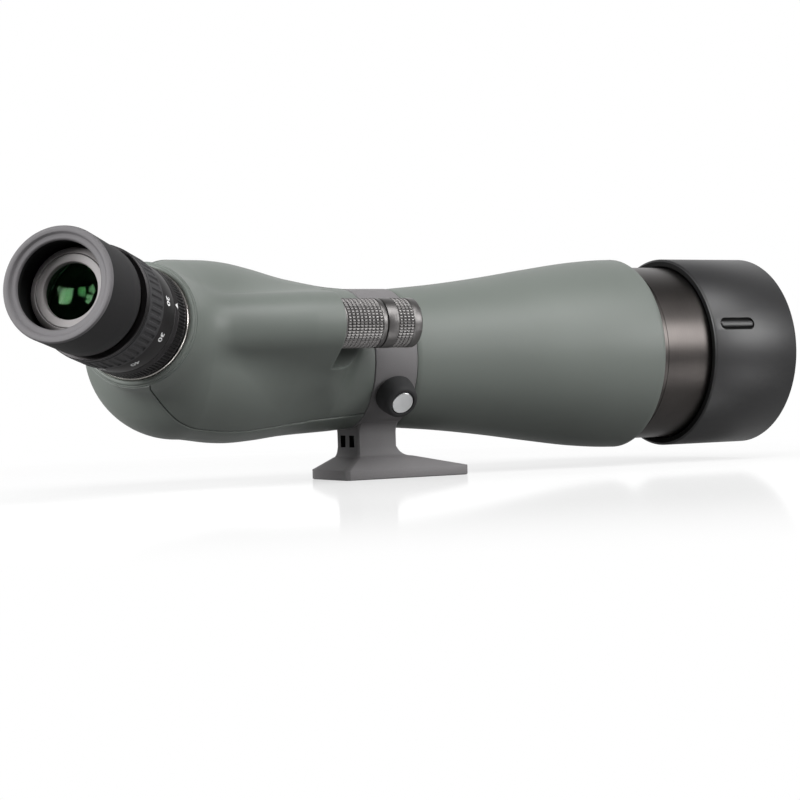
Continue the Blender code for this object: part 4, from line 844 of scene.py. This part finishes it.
def studded(bm, rows, frame_matrix):
    """Raise a small truncated pyramid on every face of the given rows of a turned knob."""
    inverse = frame_matrix.inverted()
    chosen = []
    for face in bm.faces:
        spot = inverse @ face.calc_center_median()
        outside = math.hypot(spot.x, spot.y) > knob_base - 0.0003
        if outside and any(low < spot.z < high for low, high in rows):
            chosen.append(face)
    bmesh.ops.inset_individual(bm, faces=chosen, thickness=stud_margin, depth=stud_height,
                               use_even_offset=True)
    for face in chosen:
        face.material_index = 1


coarse_rows = np.linspace(coarse_rear + 0.0016, coarse_front - 0.0024, 10)
coarse_line = [(0.0038, coarse_rear), (0.0110, coarse_rear), (0.0115, coarse_rear + 0.0003),
               (knob_radius, coarse_rear + 0.0008), (knob_radius, coarse_rear + 0.0013)]
coarse_line += [(knob_base, float(height)) for height in coarse_rows]
coarse_line += [(knob_radius, coarse_front - 0.0021), (knob_radius, coarse_front - 0.0006),
                (0.0114, coarse_front - 0.0001), (0.0111, coarse_front), (0.0038, coarse_front)]
coarse = turned(coarse_line, focus_frame, stud_count)
studded(coarse, list(zip(coarse_rows, coarse_rows[1:])), focus_frame)
settle(coarse, "coarse_knob_cut", "coarse_focus", "knob_metal", [knob_grey, stud_grey], "coarse_focus_knob")

fine_rows = np.linspace(fine_rear + 0.0056, fine_rear + 0.0134, 5)
fine_line = [(0.0, fine_rear + 0.0090), (0.0022, fine_rear + 0.0090), (0.0022, fine_rear),
             (0.0111, fine_rear), (0.0114, fine_rear + 0.0001), (knob_radius, fine_rear + 0.0006),
             (knob_radius, fine_rear + 0.0052)]
fine_line += [(knob_base, float(height)) for height in fine_rows]
fine_line += [(knob_radius, fine_rear + 0.0138), (knob_radius, fine_front - 0.0009),
              (0.0113, fine_front - 0.0003), (0.0107, fine_front), (0.0082, fine_front),
              (0.0080, fine_front - 0.0004), (0.0076, fine_front - 0.0004), (0.0074, fine_front),
              (0.0, fine_front)]
fine = turned(fine_line, focus_frame, stud_count, False)
studded(fine, list(zip(fine_rows, fine_rows[1:])), focus_frame)
settle(fine, "fine_knob_cut", "fine_focus", "knob_metal", [knob_grey, stud_grey], "fine_focus_knob")

# Neck rim and eyepiece socket
# A stepped green rim closes the neck of the housing, and a bright turned aluminium socket is screwed
# into it to take the eyepiece.
eyepiece_frame = scope_frame @ Matrix.Translation((bend, 0, 0)) @ Matrix.Rotation(-tilt, 4, 'Y')
socket_bright = turned_metal("socket_bright", (0.66, 0.63, 0.60), 0.22, eyepiece_frame, 0.00025, 0.000003)
rim = turned([(0.0252, 0.0800), (0.0278, 0.0830), (0.0278, 0.0842), (0.0276, 0.0846), (0.0271, 0.0848),
              (0.0270, 0.0853), (0.0268, 0.0858), (0.0262, 0.0861), (0.0256, 0.0861), (0.0252, 0.0858)],
             eyepiece_frame, 128)
settle(rim, "neck_rim", "scope", "green_housing", [green_coat])
socket = turned([(0.0223, 0.0720), (0.0250, 0.0720), (0.0250, 0.0864), (0.0247, 0.0869), (0.0243, 0.0870),
                 (0.0226, 0.0870), (0.0223, 0.0867)], eyepiece_frame, 128)
settle(socket, "eyepiece_socket_bright", "scope", "bright_ring", [socket_bright], "eyepiece_socket")

# Eyepiece lock ring
# A black anodised ring with straight cut ribs that clamps the eyepiece in its socket.
# Its smooth front edge carries a painted index mark for the zoom scale.
lock_ring_bore = 0.0223
rib_count = 100
rib_columns = 4
rib_depth = 0.00055
ring_black = turned_metal("ring_black", (0.040, 0.038, 0.039), 0.42, eyepiece_frame, 0.0003, 0.000002)
white_paint = grained_coat("white_paint", (0.80, 0.80, 0.80), 0.55, 0.0003, 0.000006, drift=0.03)
to_eyepiece = eyepiece_frame.inverted()


def cut_ribs(bm, count, columns, low, high, depth, wide=2, staggered=0.0):
    """Sink a straight groove between ribs, every so many columns of a turned ring."""
    for corner in bm.verts:
        spot = to_eyepiece @ corner.co
        radius = math.hypot(spot.x, spot.y)
        column = round(math.atan2(spot.y, spot.x) / (2 * math.pi) * count * columns) % (count * columns)
        groove, place = divmod(column, columns)
        start = low + (staggered if groove % 2 else 0.0)
        end = high - (0.0 if groove % 2 else staggered)
        if place < wide and start < spot.z < end and radius > lock_ring_bore + 0.0007:
            share = 1 - depth / radius
            corner.co = eyepiece_frame @ Vector((spot.x * share, spot.y * share, spot.z))


def on_eyepiece(radius, angle, place):
    return eyepiece_frame @ Vector((radius * math.cos(angle), radius * math.sin(angle), place))


rib_low = 0.0890
rib_high = 0.0962
lock_ring = turned([(lock_ring_bore, 0.0882), (0.0242, 0.0882), (0.0246, 0.0886), (0.0246, rib_low),
                    (0.0246, rib_low + 0.0003), (0.0246, rib_high - 0.0003), (0.0246, rib_high),
                    (0.0244, rib_high + 0.0003), (0.0244, 0.0994), (0.0242, 0.0997),
                    (lock_ring_bore, 0.0997)],
                   eyepiece_frame, rib_count * rib_columns)
cut_ribs(lock_ring, rib_count, rib_columns, rib_low + 0.0001, rib_high - 0.0001, rib_depth)
settle(lock_ring, "eyepiece_lock_ring_ribbed", "eyepiece_lock", "ring_black", [ring_black],
       "eyepiece_lock_ring")
index_mark = bmesh.new()
index_angle = math.radians(359)
index_radius = 0.02438
paint_thickness = 0.00008
index_corners = [(0.0993, 0.0), (0.0967, 0.056), (0.0967, -0.056)]
index_face = index_mark.faces.new([index_mark.verts.new(on_eyepiece(index_radius, index_angle + turn, place))
                                   for place, turn in index_corners])
index_out = on_eyepiece(1, index_angle, 0) - on_eyepiece(0, 0, 0)
raise_face(index_mark, index_face, index_out * paint_thickness)
bmesh.ops.recalc_face_normals(index_mark, faces=index_mark.faces[:])
settle(index_mark, "zoom_index_mark", "eyepiece_lock", "ring_black", [white_paint])

# Zoom ring
# A black anodised sleeve with a plain scale of painted numbers, and a moulded rubber grip with
# staggered ribs that is stretched over a seat in the sleeve.
sleeve_radius = 0.0243
sleeve_seat = 0.0234
zoom_start = 0.1000
zoom_end = 0.1288
grip_start = 0.1125
grip_end = 0.1261
grip_radius = 0.0250
grip_count = 50
grip_depth = 0.00055
grip_stagger = 0.0012
grip_columns = 6
grip_rubber = grained_coat("grip_rubber", (0.030, 0.029, 0.031), 0.66, 0.0003, 0.00003,
                           specular_ior_level=0.35)
sleeve = turned([(lock_ring_bore, zoom_start), (0.0240, zoom_start), (sleeve_radius, zoom_start + 0.0003),
                 (sleeve_radius, 0.1119), (0.0241, 0.1122), (sleeve_seat, 0.1122), (sleeve_seat, 0.1264),
                 (0.0246, 0.1264), (0.0248, 0.1266), (0.0248, 0.1272), (0.0246, 0.1274),
                 (0.0246, 0.1277), (0.0248, 0.1279), (0.0248, 0.1285),
                 (0.0245, zoom_end), (lock_ring_bore, zoom_end)], eyepiece_frame, 160)
settle(sleeve, "zoom_sleeve_turned", "zoom_ring", "ring_black", [ring_black], "zoom_sleeve")
grip_edges = (0.0003, 0.0012, 0.0015, grip_stagger + 0.0010, grip_stagger + 0.0014)
grip_line = [(0.0237, grip_start), (0.0247, grip_start)]
grip_line += [(grip_radius, grip_start + edge) for edge in grip_edges]
grip_line += [(grip_radius, grip_end - edge) for edge in reversed(grip_edges)]
grip_line += [(0.0247, grip_end), (0.0237, grip_end)]
grip = turned(grip_line, eyepiece_frame, grip_count * grip_columns)
cut_ribs(grip, grip_count, grip_columns, grip_start + 0.0013, grip_end - 0.0013, grip_depth,
         grip_columns // 2, grip_stagger)
settle(grip, "zoom_grip_moulded", "zoom_ring", "rubber", [grip_rubber], "zoom_grip")
number_size = 0.0042
number_place = 0.1066
number_swell = 0.00010
number_half_thickness = 0.00004
number_lift = 0.00003
scale_angles = ((60, 209.0), (50, 246.5), (40, 284.0), (30, 321.5), (20, 359.0))
for magnification, angle in scale_angles:
    letters = bpy.data.curves.new("scale_number", 'FONT')
    letters.body = str(magnification)
    letters.size = number_size
    letters.align_x = 'CENTER'
    letters.align_y = 'CENTER'
    letters.extrude = number_half_thickness
    letters.offset = number_swell
    drawn = bpy.data.objects.new("scale_number", letters)
    bpy.context.scene.collection.objects.link(drawn)
    graph = bpy.context.evaluated_depsgraph_get()
    number = bmesh.new()
    number.from_mesh(drawn.evaluated_get(graph).to_mesh())
    bpy.data.objects.remove(drawn, do_unlink=True)
    bpy.data.curves.remove(letters)
    bmesh.ops.remove_doubles(number, verts=number.verts[:], dist=1e-6)
    for corner in number.verts:
        turn = math.radians(angle) - corner.co.x / sleeve_radius
        out = sleeve_radius + number_lift + corner.co.z
        corner.co = on_eyepiece(out, turn, number_place - corner.co.y)
    bmesh.ops.recalc_face_normals(number, faces=number.faces[:])
    settle(number, f"zoom_number_{magnification}", "zoom_ring", "ring_black", [white_paint])

# Eyecup
# A soft rubber cup that twists out for viewing without spectacles. Its face has an outer ring
# and an inner lip one step lower, and its inside is deep and matte. The face is painted a much lighter
# grey than the side of the same rubber, as painted light standing in for the lamps' light on it.
cup_low = 0.1324
cup_high = 0.1607
cup_face_depth = 0.0022
cup_face_radius = 0.02405
cup_rubber = grained_coat("cup_rubber", (0.015, 0.0144, 0.0153), 0.70, 0.00035, 0.00003,
                          specular_ior_level=0.25)
# A lit copy of the cup's rubber, painted light for its face.
cup_face_painted_light = grained_coat("cup_face_painted_light", (0.112, 0.107, 0.112), 0.62, 0.00035, 0.00003,
                               specular_ior_level=0.4)
cup = turned([(0.0206, cup_low), (0.0229, cup_low), (0.0235, cup_low + 0.0003), (0.0238, cup_low + 0.0009),
              (0.0239, cup_low + 0.0080), (0.0240, cup_low + 0.0170), (0.0241, cup_high - 0.0024),
              (0.0241, cup_high - 0.0012), (0.0239, cup_high - 0.0005), (0.0236, cup_high - 0.0001),
              (0.0232, cup_high), (0.0216, cup_high),
              (0.0213, cup_high - 0.0002), (0.0209, cup_high - 0.0009), (0.0206, cup_high - 0.0011),
              (0.0192, cup_high - 0.0011), (0.0187, cup_high - 0.0013), (0.0184, cup_high - 0.0017),
              (0.0183, cup_high - 0.0023), (0.0184, cup_high - 0.0047), (0.0206, cup_high - 0.0052)],
             eyepiece_frame, 160)
blacken_bore(cup, eyepiece_frame)
# Painted light: the faces of the cup's end take the light grey copy of the rubber, so that they look lit.
for face in cup.faces:
    spot = to_eyepiece @ face.calc_center_median()
    if spot.z > cup_high - cup_face_depth and math.hypot(spot.x, spot.y) < cup_face_radius:
        face.material_index = 2
settle(cup, "eyecup_moulded", "eyecup", "eyecup_rubber", [cup_rubber, inner_black, cup_face_painted_light],
       "eyecup")

# Eyepiece head and eye lens
# A turned head holds the last lens of the eyepiece under a screwed retaining ring. Both are given
# a light grey, as painted light standing in for the light falling on the eyepiece's end.
# The lens is deeply coated, so that it looks green and nearly black.
# Painted light: a light grey on the head and its retaining ring stands in for the light on them.
head_painted_light_grey = grained_coat("head_painted_light_grey", (0.25, 0.236, 0.235), 0.52, 0.00030, 0.00001, specular_ior_level=0.4)
head = turned([(0.0156, 0.1272), (0.0195, 0.1272), (0.0195, 0.1310), (0.0182, 0.1310), (0.0182, 0.1476),
               (0.0180, 0.1479), (0.0160, 0.1489), (0.0158, 0.1490), (0.0156, 0.1488)], eyepiece_frame, 128)
settle(head, "eyepiece_head_turned", "scope", "tube_black", [head_painted_light_grey], "eyepiece_head")
retainer = turned([(0.0119, 0.1462), (0.0153, 0.1462), (0.0153, 0.1486), (0.0151, 0.1488), (0.0124, 0.1488),
                   (0.0121, 0.1486), (0.0119, 0.1478)], eyepiece_frame, 128)
settle(retainer, "eye_lens_retainer_turned", "scope", "ring_black", [head_painted_light_grey], "eye_lens_retainer")
eye_glass = coated_glass("eye_glass", (0.44, 0.70, 0.48), (0.03, 0.125, 0.035), 1.0)
eye_middle = 0.142635
eye_edge = 0.0050
eye_lens = turned(lens_line(0.0153, eye_middle - eye_edge / 2, eye_middle + eye_edge / 2, 0.0018, 0.0023),
                  eyepiece_frame, 96, False)
settle(eye_lens, "eye_lens_coated", "scope", "eye_lens_glass", [eye_glass], "eye_lens")

# Inner works
# Seals, baffles, shafts, the focus carriage and the prism stay as the solids give them,
# each in the finish of its own material.
nylon_grey = grained_coat("nylon_grey", (0.09, 0.09, 0.09), 0.6, 0.0004, 0.00002)
steel_bright = turned_metal("steel_bright", (0.55, 0.55, 0.56), 0.32, optical_frame, 0.0002, 0.000002)
brass_plain = turned_metal("brass_plain", (0.60, 0.46, 0.22), 0.34, optical_frame, 0.0002, 0.000003)
seal_rubber = grained_coat("seal_rubber", (0.025, 0.025, 0.026), 0.75, 0.0003, 0.00002)
clear_glass = coated_glass("clear_glass", (0.90, 0.94, 0.94), (0.6, 0.8, 0.9), 1.0)
inner_looks = {"inner_black": inner_black, "steel": steel_bright, "brass": brass_plain,
               "rubber": seal_rubber, "nylon": nylon_grey, "lens_glass": clear_glass,
               "tube_black": tube_black}
slots = {row["node"]: row["material_slot"] for row in frame["record"]["subparts"]}
for node, solid in frame["nodes"].items():
    look = inner_looks.get(slots[node])
    if look:
        solid.data.materials.clear()
        solid.data.materials.append(look)

# Floor, light and backdrop
# A plain white floor with a faint polish that keeps a soft shadow, under a large lamp over the camera,
# a smaller one to its right and three small ones beyond the eyepiece on the left.
floor_size = 14.0
floor_grey = (0.22, 0.22, 0.22)
bounce_grey = (0.16, 0.16, 0.16)
floor_glow = 0.74
mirror_share = 0.22
gloss_level = 0.30
ambient = 0.22
room_level = 0.08
floor_roughness = 0.08
white_start = 0.24
white_end = 0.48
floor_material = bpy.data.materials.new("floor_white")
floor_material.use_nodes = True
floor_tree = floor_material.node_tree
floor_tree.nodes.clear()
spot = Value(floor_tree, floor_tree.nodes.new("ShaderNodeTexCoord").outputs["Object"])


def seen_directly(value):
    """1 where the eye, a gloss or a glass looks, 0 for light that only bounces."""
    rays = value.tree.nodes.new("ShaderNodeLightPath")
    kinds = ("Camera", "Glossy", "Transmission")
    eye, gloss, glass = (Value(value.tree, rays.outputs[f"Is {kind} Ray"]) for kind in kinds)
    return (eye + gloss + glass).between(0.0, 1.0)


away = spot.node("VectorMath", {"operation": 'LENGTH'}, {0: spot}, output=1)
far = away.between(white_start, white_end)
matte = spot.node("BsdfDiffuse", {}, {"Color": (*floor_grey, 1.0)})
gloss = Value(floor_tree, floor_tree.nodes.new("ShaderNodeLightPath").outputs["Is Glossy Ray"])
level = 1 - gloss * (1 - gloss_level)
shine = spot.node("Emission", {}, {"Color": (1.0, 1.0, 1.0, 1.0), "Strength": level * floor_glow})
polish = spot.node("BsdfGlossy", {}, {"Color": (1.0, 1.0, 1.0, 1.0), "Roughness": floor_roughness})
glow = spot.node("Emission", {}, {"Color": (1.0, 1.0, 1.0, 1.0), "Strength": level})
lit = spot.node("AddShader", {}, {0: matte, 1: shine})
near = spot.node("MixShader", {}, {0: mirror_share, 1: lit, 2: polish})
white = spot.node("MixShader", {}, {0: far, 1: near, 2: glow})
dull = spot.node("BsdfDiffuse", {}, {"Color": (*bounce_grey, 1.0)})
whole = spot.node("MixShader", {}, {0: seen_directly(spot), 1: dull, 2: white})
floor_output = floor_tree.nodes.new("ShaderNodeOutputMaterial")
floor_tree.links.new(whole.socket, floor_output.inputs["Surface"])
floor_mesh = bmesh.new()
bmesh.ops.create_grid(floor_mesh, x_segments=1, y_segments=1, size=floor_size)
floor_data = bpy.data.meshes.new("floor")
floor_mesh.to_mesh(floor_data)
floor_mesh.free()
floor_data.materials.append(floor_material)
floor = bpy.data.objects.new("floor", floor_data)
bpy.context.scene.collection.objects.link(floor)

lamps = (("over_lamp", (0.10, -0.92, 1.20), (1.5, 0.7), 20.0),
         ("right_lamp", (0.92, -1.09, 0.48), (0.7, 0.55), 11.0),
         ("left_lamp_high", (-1.47, 0.06, 0.72), (0.30, 0.30), 9.0),
         ("left_lamp_front", (-1.44, -0.32, 0.50), (0.30, 0.30), 9.0),
         ("left_lamp_low", (-1.47, 0.10, 0.36), (0.26, 0.26), 8.0))
aim = Vector((0, 0, 0.06))
for name, place, size, power in lamps:
    data = bpy.data.lights.new(name, 'AREA')
    data.shape = 'RECTANGLE'
    data.size, data.size_y = size
    data.energy = power
    lamp = bpy.data.objects.new(name, data)
    bpy.context.scene.collection.objects.link(lamp)
    lamp.location = place
    lamp.rotation_euler = (aim - Vector(place)).to_track_quat('-Z', 'Y').to_euler()

world = bpy.data.worlds.new("surround")
bpy.context.scene.world = world
world.use_nodes = True
tree = world.node_tree
backdrop = tree.nodes["Background"]
backdrop.inputs["Color"].default_value = (1.0, 1.0, 1.0, 1.0)
direction = Value(tree, tree.nodes.new("ShaderNodeTexCoord").outputs["Generated"])
behind = direction.node("VectorMath", {"operation": 'DOT_PRODUCT'}, {0: direction, 1: ahead}, output=1)
mirrored = room_level + behind.between(0.2, 0.9) * (1 - room_level)
eye = Value(tree, tree.nodes.new("ShaderNodeLightPath").outputs["Is Camera Ray"])
shown = mirrored + eye * (1 - mirrored)
tree.links.new((ambient + seen_directly(direction) * (shown - ambient)).socket, backdrop.inputs["Strength"])
